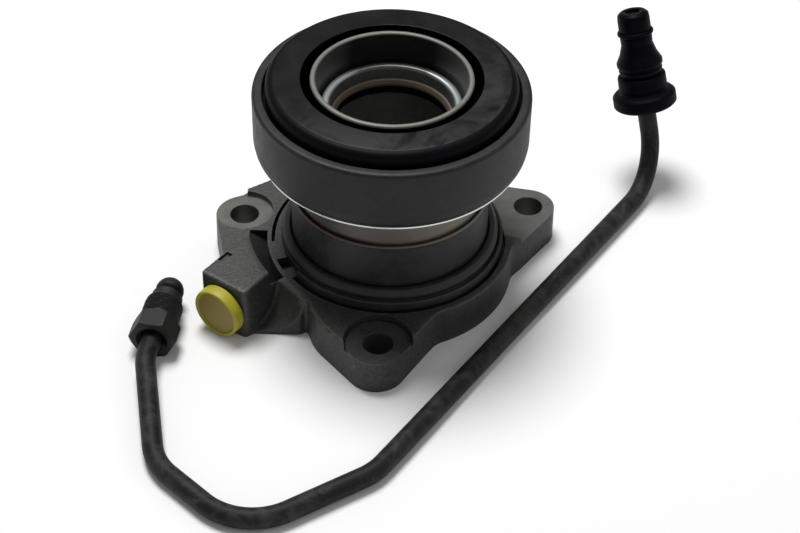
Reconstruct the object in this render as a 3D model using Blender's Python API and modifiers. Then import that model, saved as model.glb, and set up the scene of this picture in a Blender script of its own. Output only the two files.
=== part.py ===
"""Concentric clutch slave cylinder with its release bearing and its pressure line.

The cylinder's own axis is vertical and its mounting face lies at Z = 0. Every piece is placed
from that axis, and the whole set is then shifted so that the origin is under its middle.
The release bearing is shown at the outer end of its stroke, where the preload spring holds it.
"""
import math

import bmesh
import bpy
from mathutils import Matrix, Vector

MM = 0.001

# Where the cylinder's axis stands, so that the origin is under the middle of the whole set
AXIS_PLACE = Vector((-6.2, 18.3)) * MM

# Clearances
SEAT_GAP = 0.30 * MM
MERGE = 0.001 * MM

# Facets round a turned piece
VISIBLE_STEPS = 40
INNER_STEPS = 30
SEAL_STEPS = 24
SMALL_STEPS = 20

# Cast housing
EAR_CIRCLE = 37.2 * MM
EAR_RADIUS = 7.0 * MM
RIGHT_EAR_RADIUS = 6.5 * MM
EAR_HEIGHT = 8.8 * MM
EAR_FACE_EXTRA = 0.2 * MM
FRONT_FACE_EXTRA = 0.9 * MM
EAR_HOLE_RADIUS = 3.55 * MM
LEFT_EAR_ANGLE = math.radians(167.0)
RIGHT_EAR_ANGLE = math.radians(21.8)
FRONT_EAR_ANGLE = math.radians(267.0)
DECK_HEIGHT = 10.2 * MM
DECK_RIM = 1.5 * MM
DECK_CHAMFER = 0.5 * MM
BASE_EXTRA = 3.0 * MM
FLOOR_BOTTOM = 2.3 * MM
FLOOR_THICKNESS = 2.3 * MM
WING_SIDE = 36.0 * MM
WING_EDGE = 34.6 * MM
WING_EDGE_ANGLE = math.radians(125.8)
WING_BACK_ANGLE = math.radians(108.0)
LEFT_ROOT_RADIUS = 13.0 * MM
RIGHT_ROOT_RADIUS = 14.0 * MM
FRONT_ROOT_RADIUS = 15.2 * MM
FRONT_ROOT_LEAN = math.radians(5.5)
FRONT_TIP_LEAN = math.radians(0.7)
HEEL_CIRCLE = 35.0 * MM
HEEL_ANGLE = math.radians(195.0)
HEEL_RADIUS = 6.0 * MM
OUTLINE_BLEND = 34
OUTLINE_COUNT = 108
GROOVE_CLEARANCE = 0.1 * MM
GROOVE_WIDTH = 1.3 * MM
SLOT_INSET = 0.8 * MM
SLOT_WIDTH = 0.9 * MM
GROOVE_END = math.radians(140.0)
SLOT_START = math.radians(146.0)
GROOVE_DEPTH = 4.2 * MM
BRIDGE_START = math.radians(187.0)
BRIDGE_END = math.radians(216.0)
COVE_RADIUS = 9.5 * MM

# Port boss and its plug
PORT_ANGLE = math.radians(235.0)
PORT_FACE_DISTANCE = 41.6 * MM
PORT_OFFSET = 18.2 * MM
PORT_HEIGHT = 6.8 * MM
PORT_RADIUS = 4.4 * MM
PORT_DEPTH = 11.0 * MM
PASSAGE_RADIUS = 1.1 * MM
BOSS_WIDTH = 13.2 * MM
BOSS_HEIGHT = 14.5 * MM
BOSS_RELIEF_CLEARANCE = 1.9 * MM
POCKET_FLOOR = 5.6 * MM
POCKET_INSET = 0.3 * MM
POCKET_START = math.radians(179.0)
POCKET_END = math.radians(214.0)
BOSS_EDGE = 0.7 * MM
NOTCH_PLACE = 8.3 * MM
NOTCH_SIZE = Vector((2.4, 1.6, 2.0)) * MM
TOE_SETBACK = Vector((1.5, 1.0)) * MM
TOE_DEPTH = 15.0 * MM
TOE_CIRCLE = 33.0 * MM
TOE_ANGLE = math.radians(231.0)
TOE_ROOT_CIRCLE = 24.0 * MM
TOE_ROOT_ANGLE = math.radians(236.0)
COVE_ANGLE = math.radians(220.2)
COVE_LENGTH = 60.0 * MM
PLUG_CAP_RADIUS = 6.35 * MM
PLUG_CAP_THICKNESS = 3.0 * MM
PLUG_STEM_LENGTH = 7.5 * MM

# Guide tube and the parts round it
GUIDE_BORE = 14.4 * MM
GUIDE_WALL = 1.2 * MM
GUIDE_DROP = 7.3 * MM
GUIDE_BEAD_HEIGHT = 2.0 * MM
GUIDE_BEAD_REACH = 0.9 * MM
GUIDE_FLANGE_WIDTH = 2.9 * MM
GUIDE_FLANGE_THICKNESS = 1.5 * MM
SHAFT_SEAL_LIP = 0.8 * MM
SHAFT_SEAL_HEIGHT = 4.0 * MM
SHAFT_SEAL_DEPTH = 3.2 * MM
O_RING_SECTION = 1.2 * MM

# Hydraulic cylinder
CHAMBER_WIDTH = 7.6 * MM
SLEEVE_WALL = 0.6 * MM
STROKE_CLEARANCE = 0.8 * MM
COLLAR_REACH = 3.3 * MM
COLLAR_HEIGHT = 4.0 * MM
SEAL_HEIGHT = 2.5 * MM
SEAL_LIP = 1.1 * MM
SPRING_SEAT_THICKNESS = 0.7 * MM
SPRING_WIRE_RADIUS = 0.9 * MM
SPRING_TURNS = 2.5
STROKE = 10.0 * MM
PISTON_NECK_WALL = 1.4 * MM
PISTON_RELIEF_DEPTH = 7.0 * MM

# Release bearing
SHELL_WALL = 1.2 * MM
SHELL_HEIGHT = 15.3 * MM
SHELL_ROUND = 2.2 * MM
SHELL_LIP = 2.5 * MM
SHELL_TAPER = 1.1 * MM
SHELL_FOOT_RISE = 2.6 * MM
PLATE_THICKNESS = 1.2 * MM
PLATE_EDGE = 0.45 * MM
RIM_CLEARANCE = 1.1 * MM
RIM_WALL = 1.3 * MM
CONTACT_CLEARANCE = 2.2 * MM
CONTACT_HEIGHT = 57.5 * MM
CONTACT_STEP = 3.3 * MM
CONTACT_THICKNESS = 3.2 * MM
CONTACT_SHOULDER = 1.9 * MM
CONTACT_SKIRT_DEPTH = 5.2 * MM
CONTACT_SKIRT_WALL = 1.8 * MM
LIP_CLEARANCE = 0.6 * MM
BALL_RADIUS = 3.0 * MM
BALL_COUNT = 14
INNER_RACE_WALL = 0.9 * MM
OUTER_RACE_WALL = 2.2 * MM
SHIELD_HEIGHT = 2.4 * MM
CONTACT_TILT = math.radians(-40.0)
RACE_RIM = 3.7 * MM
CAGE_LENGTH = 8.4 * MM
CAGE_WALL = 1.2 * MM

# Pressure line
PIPE_RADIUS = 2.37 * MM
PIPE_BORE = 1.3 * MM
BEND_RADIUS = 15.0 * MM
NUT_FLATS = 10.0 * MM
NUT_HEX_LENGTH = 5.8 * MM
NUT_THREAD_RADIUS = 4.65 * MM
NUT_THREAD_LENGTH = 7.2 * MM
NUT_NOSE_RADIUS = 3.75 * MM
NUT_NOSE_LENGTH = 2.4 * MM
FLARE_RADIUS = 3.4 * MM
FLARE_LENGTH = 4.5 * MM
NUT_BACK = Vector((-54.9, -34.0)) * MM
NUT_ANGLE = math.radians(82.0)
NUT_STRAIGHT = 6.0 * MM
FIRST_RUN = 30.43 * MM
FIRST_HEADING = math.radians(-79.9)
FRONT_RUN = 28.16 * MM
FRONT_HEADING = math.radians(-43.27)
RISING_RUN = 33.45 * MM
RISING_HEADING = math.radians(32.55)
LONG_RUN = 127.61 * MM
LONG_HEADING = math.radians(56.25)
LINE_END_ANGLE = math.radians(126.5)
LINE_END_LEAN = math.radians(20.2)
LINE_END_STRAIGHT = 6.9 * MM
GROMMET_RADIUS = 8.1 * MM
GROMMET_FLANGE = 4.0 * MM
GROMMET_COLLAR_RADIUS = 6.2 * MM
GROMMET_COLLAR = 4.6 * MM
CONNECTOR_CONE_RADIUS = 5.85 * MM
CONNECTOR_CONE = 8.0 * MM
CONNECTOR_NECK_RADIUS = 4.1 * MM
CONNECTOR_HEAD = 8.6 * MM
CONNECTOR_BORE_DEPTH = 7.0 * MM
CONNECTOR_RING_SECTION = 0.9 * MM
CONNECTOR_RING_PLACE = 2.4 * MM

# Sizes that follow from those above
FLOOR_TOP = FLOOR_BOTTOM + FLOOR_THICKNESS
GUIDE_RADIUS = GUIDE_BORE + GUIDE_WALL
BORE_RADIUS = GUIDE_RADIUS + CHAMBER_WIDTH
SLEEVE_RADIUS = BORE_RADIUS + SLEEVE_WALL
PISTON_BORE = GUIDE_RADIUS + SEAT_GAP
PISTON_RADIUS = BORE_RADIUS - SEAT_GAP
COLLAR_RADIUS = SLEEVE_RADIUS + COLLAR_REACH
FOOT_SEAL_RADIUS = SLEEVE_RADIUS + SEAT_GAP + 1.9 * MM
GROOVE_RADIUS = COLLAR_RADIUS + GROOVE_CLEARANCE
DECK_RADIUS = GROOVE_RADIUS + GROOVE_WIDTH + DECK_RIM
RACE_RADIUS = BALL_RADIUS + SEAT_GAP
RIM_RADIUS = GUIDE_RADIUS + GUIDE_BEAD_REACH + RIM_CLEARANCE + RIM_WALL
CONTACT_BORE = RIM_RADIUS + CONTACT_CLEARANCE
BALL_CIRCLE = CONTACT_BORE + INNER_RACE_WALL + RACE_RADIUS
SHELL_RADIUS = BALL_CIRCLE + RACE_RADIUS + OUTER_RACE_WALL + SEAT_GAP + SHELL_WALL
SHELL_BORE = SHELL_RADIUS - SHELL_WALL
BOSS_RELIEF_RADIUS = SHELL_RADIUS + BOSS_RELIEF_CLEARANCE
GUIDE_TOP = CONTACT_HEIGHT - GUIDE_DROP
SHELL_TOP = CONTACT_HEIGHT - CONTACT_STEP
SHELL_BOTTOM = SHELL_TOP - SHELL_HEIGHT
PLATE_TOP = SHELL_BOTTOM - SEAT_GAP
PLATE_BOTTOM = PLATE_TOP - PLATE_THICKNESS
SKIRT_LOW = CONTACT_HEIGHT - CONTACT_SKIRT_DEPTH
SHIELD_LOW = SKIRT_LOW - SEAT_GAP - SHIELD_HEIGHT
BALL_HEIGHT = SHIELD_LOW - SEAT_GAP - RACE_RIM
PISTON_TOP = PLATE_BOTTOM - SEAT_GAP
SLEEVE_TOP = PLATE_BOTTOM - STROKE - STROKE_CLEARANCE
PISTON_BOTTOM = SLEEVE_TOP - STROKE_CLEARANCE
SEAL_TOP = PISTON_BOTTOM - SEAT_GAP
SPRING_SEAT_TOP = SEAL_TOP - SEAL_HEIGHT - SEAT_GAP
PORT_IN = Vector((-math.cos(PORT_ANGLE), -math.sin(PORT_ANGLE), 0.0))
PORT_SIDE = Vector((PORT_IN.y, -PORT_IN.x, 0.0))


def clear_scene():
    for old in list(bpy.data.objects):
        bpy.data.objects.remove(old, do_unlink=True)


def new_collection(name):
    collection = bpy.data.collections.new(name)
    bpy.context.scene.collection.children.link(collection)
    return collection


def finish_material(name, colour, roughness, metallic):
    material = bpy.data.materials.new(name)
    material.use_nodes = True
    shader = material.node_tree.nodes["Principled BSDF"]
    shader.inputs["Base Color"].default_value = (*colour, 1.0)
    shader.inputs["Roughness"].default_value = roughness
    shader.inputs["Metallic"].default_value = metallic
    return material


def put(obj, collection, parent=None, material=None):
    """Link an object to its collection, its parent and its material."""
    collection.objects.link(obj)
    obj.parent = parent
    if material:
        obj.data.materials.clear()
        obj.data.materials.append(material)
    if collection is TOOLS:
        obj.hide_render = True
        obj.display_type = "WIRE"
    return obj


def freeze(temporary, name):
    """Turn an object with modifiers, or a curve, into a clean closed mesh object."""
    bpy.context.scene.collection.objects.link(temporary)
    bpy.context.view_layer.update()
    evaluated = temporary.evaluated_get(bpy.context.evaluated_depsgraph_get())
    mesh = bpy.data.meshes.new_from_object(evaluated)
    matrix = temporary.matrix_world.copy()
    bpy.data.objects.remove(temporary, do_unlink=True)
    shape = bmesh.new()
    shape.from_mesh(mesh)
    bmesh.ops.remove_doubles(shape, verts=shape.verts, dist=MERGE)
    bmesh.ops.dissolve_degenerate(shape, edges=shape.edges, dist=MERGE)
    bmesh.ops.recalc_face_normals(shape, faces=shape.faces)
    shape.to_mesh(mesh)
    shape.free()
    mesh.shade_smooth()
    mesh.set_sharp_from_angle(angle=math.radians(32.0))
    solid = bpy.data.objects.new(name, mesh)
    solid.matrix_world = matrix
    return solid


def turned(name, section, steps=VISIBLE_STEPS):
    """Turn a section of (radius, height) points round Z: down its outer side, then back up inside."""
    count = len(section)
    ring = all(radius > 0 for radius, height in section)
    edges = [(i, i + 1) for i in range(count - 1)]
    if ring:
        edges.append((count - 1, 0))
    profile = bpy.data.meshes.new(name + "_section")
    profile.from_pydata([(radius, 0.0, height) for radius, height in section], edges, [])
    temporary = bpy.data.objects.new(name + "_section", profile)
    screw = temporary.modifiers.new("Turn", "SCREW")
    screw.steps = steps
    screw.render_steps = steps
    screw.use_merge_vertices = True
    screw.merge_threshold = MERGE
    return freeze(temporary, name)


def plate(name, outline, low, high, chamfer=0.0):
    """A flat outline in plan, filled and extruded between two heights."""
    curve = bpy.data.curves.new(name + "_outline", "CURVE")
    curve.dimensions = "2D"
    curve.fill_mode = "BOTH"
    curve.extrude = (high - low) / 2
    spline = curve.splines.new("POLY")
    spline.points.add(len(outline) - 1)
    for point, (x, y) in zip(spline.points, outline):
        point.co = (x, y, 0.0, 1.0)
    spline.use_cyclic_u = True
    solid = freeze(bpy.data.objects.new(name + "_outline", curve), name)
    solid.data.transform(Matrix.Translation((0.0, 0.0, (high + low) / 2)))
    if chamfer:
        bevel = solid.modifiers.new("Edge", "BEVEL")
        bevel.width = chamfer
        bevel.segments = 1
        bevel.limit_method = "ANGLE"
        bevel.angle_limit = math.radians(60.0)
    return solid


def cut(target, tool, operation="DIFFERENCE"):
    boolean = target.modifiers.new(tool.name, "BOOLEAN")
    boolean.solver = "EXACT"
    boolean.operation = operation
    boolean.object = tool
    return target


def aim(obj, start, direction):
    """Place a piece that was turned round Z so that it starts at a point and runs along a direction."""
    obj.location = start
    obj.rotation_mode = "QUATERNION"
    obj.rotation_quaternion = Vector(direction).to_track_quat("Z", "Y")
    return obj


def polar(radius, angle):
    return Vector((radius * math.cos(angle), radius * math.sin(angle)))


def arc(centre, radius, start, end, count):
    """Points of an arc as (across, up) pairs, both ends included."""
    points = []
    for i in range(count + 1):
        angle = start + (end - start) * i / count
        points.append((centre[0] + radius * math.cos(angle), centre[1] + radius * math.sin(angle)))
    return points


def ring_section(inner, outer, low, high, edge=0.15 * MM):
    """The section of a plain ring with its four corners broken."""
    return [
        (outer - edge, high), (outer, high - edge), (outer, low + edge), (outer - edge, low),
        (inner + edge, low), (inner, low + edge), (inner, high - edge), (inner + edge, high),
    ]


def o_ring_section(inner, low, thickness):
    return arc((inner + thickness / 2, low + thickness / 2), thickness / 2, 0.0, -math.tau * 5 / 6, 5)


def ear_centre(angle):
    return polar(EAR_CIRCLE, angle)


def lug_reach(direction, tip, tip_radius, root, root_radius):
    """How far a lug reaches: it is swept by a circle that grows from its tip towards its root."""
    reach = 0.0
    for i in range(25):
        share = i / 24
        centre = tip.lerp(root, share)
        radius = tip_radius + (root_radius - tip_radius) * share
        along = centre.dot(direction)
        inside = radius ** 2 - (centre.length_squared - along ** 2)
        if inside > 0:
            reach = max(reach, along + math.sqrt(inside))
    return reach


def wing_reach(angle):
    """The raised wing behind the left ear, bounded by three straight edges."""
    edges = ((math.pi, WING_SIDE), (WING_EDGE_ANGLE, WING_EDGE), (WING_BACK_ANGLE, DECK_RADIUS))
    reach = WING_SIDE * 2
    for facing, distance in edges:
        towards = math.cos(angle - facing)
        if towards <= 0.4:
            return 0.0
        reach = min(reach, distance / towards)
    return reach


def housing_outline():
    """The casting seen from above, blended where the lugs run into the round deck."""
    root_circle = EAR_CIRCLE - 2 * EAR_RADIUS
    left = (ear_centre(LEFT_EAR_ANGLE), EAR_RADIUS, polar(root_circle, LEFT_EAR_ANGLE), LEFT_ROOT_RADIUS)
    heel = (ear_centre(LEFT_EAR_ANGLE), EAR_RADIUS, polar(HEEL_CIRCLE, HEEL_ANGLE), HEEL_RADIUS)
    right_root = polar(root_circle, RIGHT_EAR_ANGLE)
    right = (ear_centre(RIGHT_EAR_ANGLE), RIGHT_EAR_RADIUS, right_root, RIGHT_ROOT_RADIUS)
    front_tip = polar(EAR_CIRCLE, FRONT_EAR_ANGLE - FRONT_TIP_LEAN)
    front = (front_tip, EAR_RADIUS, polar(root_circle, FRONT_EAR_ANGLE - FRONT_ROOT_LEAN), FRONT_ROOT_RADIUS)
    outline = []
    for i in range(OUTLINE_COUNT):
        angle = math.tau * i / OUTLINE_COUNT
        direction = polar(1.0, angle)
        left_reach = max(lug_reach(direction, *left), lug_reach(direction, *heel))
        reaches = [DECK_RADIUS, wing_reach(angle), left_reach]
        reaches += [lug_reach(direction, *right), lug_reach(direction, *front)]
        largest = max(reaches)
        total = sum((reach / largest) ** OUTLINE_BLEND for reach in reaches)
        outline.append(polar(largest * total ** (1 / OUTLINE_BLEND), angle))
    return outline


def port_point(inward, side=0.0, height=PORT_HEIGHT):
    """A point measured from the middle of the port's face: into the boss, towards the axis, and up."""
    foot = PORT_SIDE * -PORT_OFFSET - PORT_IN * PORT_FACE_DISTANCE
    point = foot + PORT_IN * inward + PORT_SIDE * side
    return Vector((point.x, point.y, height))


def make_boss():
    """The square boss that the pressure port is drilled in, relieved for the release bearing."""
    half = BOSS_WIDTH / 2
    length = PORT_FACE_DISTANCE - DECK_RADIUS / 2
    corners = [port_point(0, -half), port_point(0, half), port_point(length, half), port_point(length, -half)]
    boss = plate("boss_block", [corner.xy for corner in corners], -BASE_EXTRA, BOSS_HEIGHT, BOSS_EDGE)
    relief = turned("boss_relief", [(0.0, BOSS_HEIGHT * 2), (BOSS_RELIEF_RADIUS, BOSS_HEIGHT * 2),
                                    (BOSS_RELIEF_RADIUS, POCKET_FLOOR), (0.0, POCKET_FLOOR)])
    put(relief, TOOLS, AXIS)
    cut(boss, relief)
    notch_middle = port_point(NOTCH_PLACE, -half, BOSS_HEIGHT)
    bpy.ops.mesh.primitive_cube_add(size=1.0, location=notch_middle)
    notch = bpy.context.object
    notch.name = "boss_notch"
    notch.data.transform(Matrix.Diagonal((*NOTCH_SIZE, 1.0)))
    notch.rotation_euler.z = math.atan2(PORT_IN.y, PORT_IN.x)
    move_to_tools(notch)
    cut(boss, notch)
    return put(boss, TOOLS, AXIS)


def move_to_tools(obj):
    """Take an object that an operator made out of its collection, and file it with the tools."""
    for collection in list(obj.users_collection):
        collection.objects.unlink(obj)
    return put(obj, TOOLS, AXIS)


def make_toe():
    """The foot between the boss and the front lug, with the hollow cove cast into its side."""
    half = BOSS_WIDTH / 2
    boss_corner = port_point(TOE_SETBACK.x, half - TOE_SETBACK.y)
    inner_boss = port_point(TOE_DEPTH, half)
    lug_side = polar(TOE_CIRCLE, TOE_ANGLE)
    inner_lug = polar(TOE_ROOT_CIRCLE, TOE_ROOT_ANGLE)
    outline = [boss_corner.xy, lug_side, inner_lug, inner_boss.xy]
    toe = plate("toe_block", outline, -BASE_EXTRA, DECK_HEIGHT - 0.2 * MM)
    half_cove = COVE_LENGTH / 2
    cove = turned("toe_cove", [(0.0, half_cove), (COVE_RADIUS, half_cove), (COVE_RADIUS, -half_cove),
                               (0.0, -half_cove)], 48)
    middle = polar(DECK_RADIUS + COVE_RADIUS, COVE_ANGLE)
    along = polar(1.0, COVE_ANGLE + math.pi / 2)
    aim(cove, (middle.x, middle.y, DECK_HEIGHT + 0.2 * MM), (along.x, along.y, 0.0))
    put(cove, TOOLS, AXIS)
    cut(toe, cove)
    return put(toe, TOOLS, AXIS)


def make_bore_tool():
    """All that is bored on the cylinder's axis, from the foot seal's step down to the base recess."""
    flange = GUIDE_RADIUS + GUIDE_FLANGE_WIDTH + SEAT_GAP
    ring = GUIDE_RADIUS + O_RING_SECTION + 2 * SEAT_GAP
    chamber = SLEEVE_RADIUS + SEAT_GAP
    step = DECK_HEIGHT - O_RING_SECTION - SEAT_GAP
    above = DECK_HEIGHT * 2
    below = -FLOOR_BOTTOM
    section = [
        (0.0, above), (FOOT_SEAL_RADIUS, above), (FOOT_SEAL_RADIUS, step), (chamber, step),
        (chamber, FLOOR_TOP), (ring, FLOOR_TOP), (ring, FLOOR_TOP - O_RING_SECTION - SEAT_GAP),
        (PISTON_BORE, FLOOR_TOP - O_RING_SECTION - SEAT_GAP), (PISTON_BORE, FLOOR_BOTTOM),
        (flange, FLOOR_BOTTOM), (flange, below), (0.0, below),
    ]
    return put(turned("housing_bore", section), TOOLS, AXIS)


def make_base_tool():
    """The cut that leaves the mounting face flat and sharp-edged."""
    reach = 2 * EAR_CIRCLE
    corners = [polar(reach, math.tau * (i + 0.5) / 4) for i in range(4)]
    return put(plate("base_cut", corners, -2 * BASE_EXTRA, 0.0), TOOLS, AXIS)


def make_groove_tool(name, inner, outer, start, end, floor):
    """A groove or pocket that runs round the axis between two angles."""
    count = max(4, round((end - start) / math.radians(9.0)))
    outline = arc((0.0, 0.0), outer, start, end, count) + arc((0.0, 0.0), inner, end, start, count)
    return put(plate(name, outline, floor, BOSS_HEIGHT * 2), TOOLS, AXIS)


def make_ear_tool(name, angle, face_radius):
    """A bolt hole with the flat face that is machined round it."""
    section = [(0.0, DECK_HEIGHT * 2), (face_radius, DECK_HEIGHT * 2), (face_radius, EAR_HEIGHT),
               (EAR_HOLE_RADIUS, EAR_HEIGHT), (EAR_HOLE_RADIUS, -EAR_HEIGHT), (0.0, -EAR_HEIGHT)]
    tool = put(turned(name, section, SEAL_STEPS), TOOLS, AXIS)
    tool.location.xy = ear_centre(angle)
    return tool


def make_port_tool():
    """The port and the narrow passage that runs from it into the pressure chamber."""
    mouth = PORT_RADIUS + 1.0 * MM
    passage_end = PORT_FACE_DISTANCE - math.sqrt(BORE_RADIUS ** 2 - PORT_OFFSET ** 2) + 3 * MM
    section = [(0.0, passage_end), (PASSAGE_RADIUS, passage_end), (PASSAGE_RADIUS, PORT_DEPTH + 1.5 * MM),
               (PORT_RADIUS, PORT_DEPTH), (PORT_RADIUS, 0.4 * MM), (mouth, -0.6 * MM),
               (mouth, -5 * MM), (0.0, -5 * MM)]
    return put(aim(turned("port_bore", section, SMALL_STEPS), port_point(0.0), PORT_IN), TOOLS, AXIS)


def make_window_tool():
    """The small pocket that the core leaves in the bridge beside the sleeve's foot."""
    middle = (BRIDGE_START + BRIDGE_END) / 2 + math.radians(3.0)
    half = math.radians(4.0)
    outer = GROOVE_RADIUS + SLOT_INSET + SLOT_WIDTH
    corners = [polar(GROOVE_RADIUS, middle - half), polar(outer, middle - half),
               polar(outer, middle + half), polar(GROOVE_RADIUS, middle + half)]
    return put(plate("bridge_window", corners, DECK_HEIGHT - GROOVE_DEPTH / 2, DECK_HEIGHT * 2), TOOLS, AXIS)


def make_housing(parts, material):
    housing = plate("housing", housing_outline(), -BASE_EXTRA, DECK_HEIGHT, DECK_CHAMFER)
    face_radius = EAR_RADIUS + EAR_FACE_EXTRA
    cut(housing, make_boss(), "UNION")
    cut(housing, make_toe(), "UNION")
    cut(housing, make_base_tool())
    cut(housing, make_ear_tool("left_ear_bore", LEFT_EAR_ANGLE, face_radius))
    cut(housing, make_ear_tool("right_ear_bore", RIGHT_EAR_ANGLE, EAR_CIRCLE - DECK_RADIUS + EAR_RADIUS))
    cut(housing, make_ear_tool("front_ear_bore", FRONT_EAR_ANGLE, EAR_RADIUS + FRONT_FACE_EXTRA))
    groove_floor = DECK_HEIGHT - GROOVE_DEPTH
    slot = GROOVE_RADIUS + SLOT_INSET
    cut(housing, make_groove_tool("foot_groove", GROOVE_RADIUS, GROOVE_RADIUS + GROOVE_WIDTH,
                                  BRIDGE_END - math.tau, GROOVE_END, groove_floor))
    cut(housing, make_groove_tool("outer_slot", slot, slot + SLOT_WIDTH, SLOT_START, BRIDGE_START, groove_floor))
    cut(housing, make_groove_tool("boss_pocket", DECK_RADIUS - POCKET_INSET, BOSS_RELIEF_RADIUS - POCKET_INSET,
                                  POCKET_START, POCKET_END, POCKET_FLOOR + POCKET_INSET))
    cut(housing, make_window_tool())
    cut(housing, make_bore_tool())
    cut(housing, make_port_tool())
    return put(housing, parts, AXIS, material)


def make_guide_tube(parts, material):
    """The steel tube that the piston slides on, flanged below and rolled over at its top."""
    bead = GUIDE_RADIUS + GUIDE_BEAD_REACH
    flange = GUIDE_RADIUS + GUIDE_FLANGE_WIDTH
    flange_top = FLOOR_BOTTOM - SEAT_GAP
    flange_low = flange_top - GUIDE_FLANGE_THICKNESS
    bead_low = GUIDE_TOP - GUIDE_BEAD_HEIGHT
    middle = (GUIDE_BORE + bead) / 2
    half = (bead - GUIDE_BORE) / 2
    crown = [(x, GUIDE_TOP - half + z) for x, z in arc((middle, 0.0), half, math.pi, 0.0, 6)]
    section = crown + [
        (bead, bead_low + 0.4 * MM), (GUIDE_RADIUS, bead_low), (GUIDE_RADIUS, flange_top),
        (flange, flange_top), (flange, flange_low), (GUIDE_BORE, flange_low),
    ]
    return put(turned("guide_tube", section), parts, AXIS, material)


def make_shaft_seal(parts, material):
    """The lip seal for the gearbox input shaft, pressed into the top of the guide tube."""
    top = GUIDE_TOP - SHAFT_SEAL_DEPTH
    low = top - SHAFT_SEAL_HEIGHT
    outer = GUIDE_BORE - SEAT_GAP
    lip = outer - SHAFT_SEAL_LIP
    leg = outer - 0.55 * SHAFT_SEAL_LIP
    section = [(outer, top - 0.2 * MM), (outer, low), (leg + 0.1 * MM, low), (leg, top - 1.4 * MM),
               (lip, top - 1.8 * MM), (lip, top - 0.6 * MM), (lip + 0.3 * MM, top), (outer - 0.2 * MM, top)]
    return put(turned("shaft_seal", section, INNER_STEPS), parts, AXIS, material)


def make_sleeve(parts, material):
    """The drawn steel cylinder wall, with the rolled collar that holds it down on the housing."""
    low = DECK_HEIGHT + SEAT_GAP
    end = low - 1.5 * MM
    top = low + COLLAR_HEIGHT
    crest = COLLAR_RADIUS - 0.8 * MM
    section = [
        (SLEEVE_RADIUS - 0.1 * MM, SLEEVE_TOP), (SLEEVE_RADIUS + 0.1 * MM, SLEEVE_TOP - 0.3 * MM),
        (SLEEVE_RADIUS, SLEEVE_TOP - 0.7 * MM), (SLEEVE_RADIUS, top + 0.9 * MM),
        (SLEEVE_RADIUS + 0.5 * MM, top), (crest - 0.5 * MM, top), (crest, top - 0.5 * MM),
        (crest, top - 1.3 * MM), (crest - 0.6 * MM, top - 1.9 * MM), (crest, top - 2.3 * MM),
        (COLLAR_RADIUS, top - 2.8 * MM), (COLLAR_RADIUS, low + 0.2 * MM), (COLLAR_RADIUS - 0.2 * MM, low),
        (SLEEVE_RADIUS, low), (SLEEVE_RADIUS, end), (BORE_RADIUS, end), (BORE_RADIUS, SLEEVE_TOP - 0.4 * MM),
        (BORE_RADIUS + 0.2 * MM, SLEEVE_TOP),
    ]
    return put(turned("cylinder_sleeve", section), parts, AXIS, material)


def make_static_seals(parts, material):
    """The two O-rings that close the chamber: one round the guide tube, one under the sleeve's foot."""
    guide = o_ring_section(GUIDE_RADIUS + SEAT_GAP, FLOOR_TOP - O_RING_SECTION, O_RING_SECTION)
    put(turned("guide_seal", guide, SEAL_STEPS), parts, AXIS, material)
    foot = o_ring_section(SLEEVE_RADIUS + SEAT_GAP, DECK_HEIGHT - O_RING_SECTION, O_RING_SECTION)
    put(turned("foot_seal", foot, SEAL_STEPS), parts, AXIS, material)


def make_plug(parts, material):
    """The push-in transport plug in the port: a shallow dished cap on a hollow stem."""
    top = PLUG_CAP_THICKNESS + SEAT_GAP
    stem = PORT_RADIUS - SEAT_GAP
    wall = 1.1 * MM
    section = [
        (0.0, top - 0.3 * MM), (PLUG_CAP_RADIUS - 0.8 * MM, top - 0.3 * MM), (PLUG_CAP_RADIUS - 0.5 * MM, top),
        (PLUG_CAP_RADIUS - 0.2 * MM, top - 0.3 * MM), (PLUG_CAP_RADIUS, top - 0.9 * MM),
        (PLUG_CAP_RADIUS, SEAT_GAP + 0.2 * MM), (PLUG_CAP_RADIUS - 0.2 * MM, SEAT_GAP), (stem, SEAT_GAP),
        (stem, -PLUG_STEM_LENGTH + 0.4 * MM), (stem - 0.4 * MM, -PLUG_STEM_LENGTH),
        (stem - wall, -PLUG_STEM_LENGTH), (stem - wall, 0.0), (0.0, 0.0),
    ]
    return put(aim(turned("port_plug", section, SEAL_STEPS), port_point(0.0), -PORT_IN), parts, AXIS, material)


def make_spring(parts, material):
    """The preload spring in the pressure chamber, pushing the piston and the bearing out."""
    low = FLOOR_TOP + SEAT_GAP + SPRING_WIRE_RADIUS
    high = SPRING_SEAT_TOP - SPRING_SEAT_THICKNESS - SEAT_GAP - SPRING_WIRE_RADIUS
    radius = (PISTON_BORE + PISTON_RADIUS) / 2
    per_turn = 16
    count = round(SPRING_TURNS * per_turn)
    curve = bpy.data.curves.new("spring_path", "CURVE")
    curve.dimensions = "3D"
    curve.bevel_depth = SPRING_WIRE_RADIUS
    curve.bevel_resolution = 2
    curve.use_fill_caps = True
    spline = curve.splines.new("POLY")
    spline.points.add(count)
    for i, point in enumerate(spline.points):
        angle = math.tau * i / per_turn
        point.co = (radius * math.cos(angle), radius * math.sin(angle), low + (high - low) * i / count, 1.0)
    spring = freeze(bpy.data.objects.new("spring_path", curve), "preload_spring")
    return put(spring, parts, AXIS, material)


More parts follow.
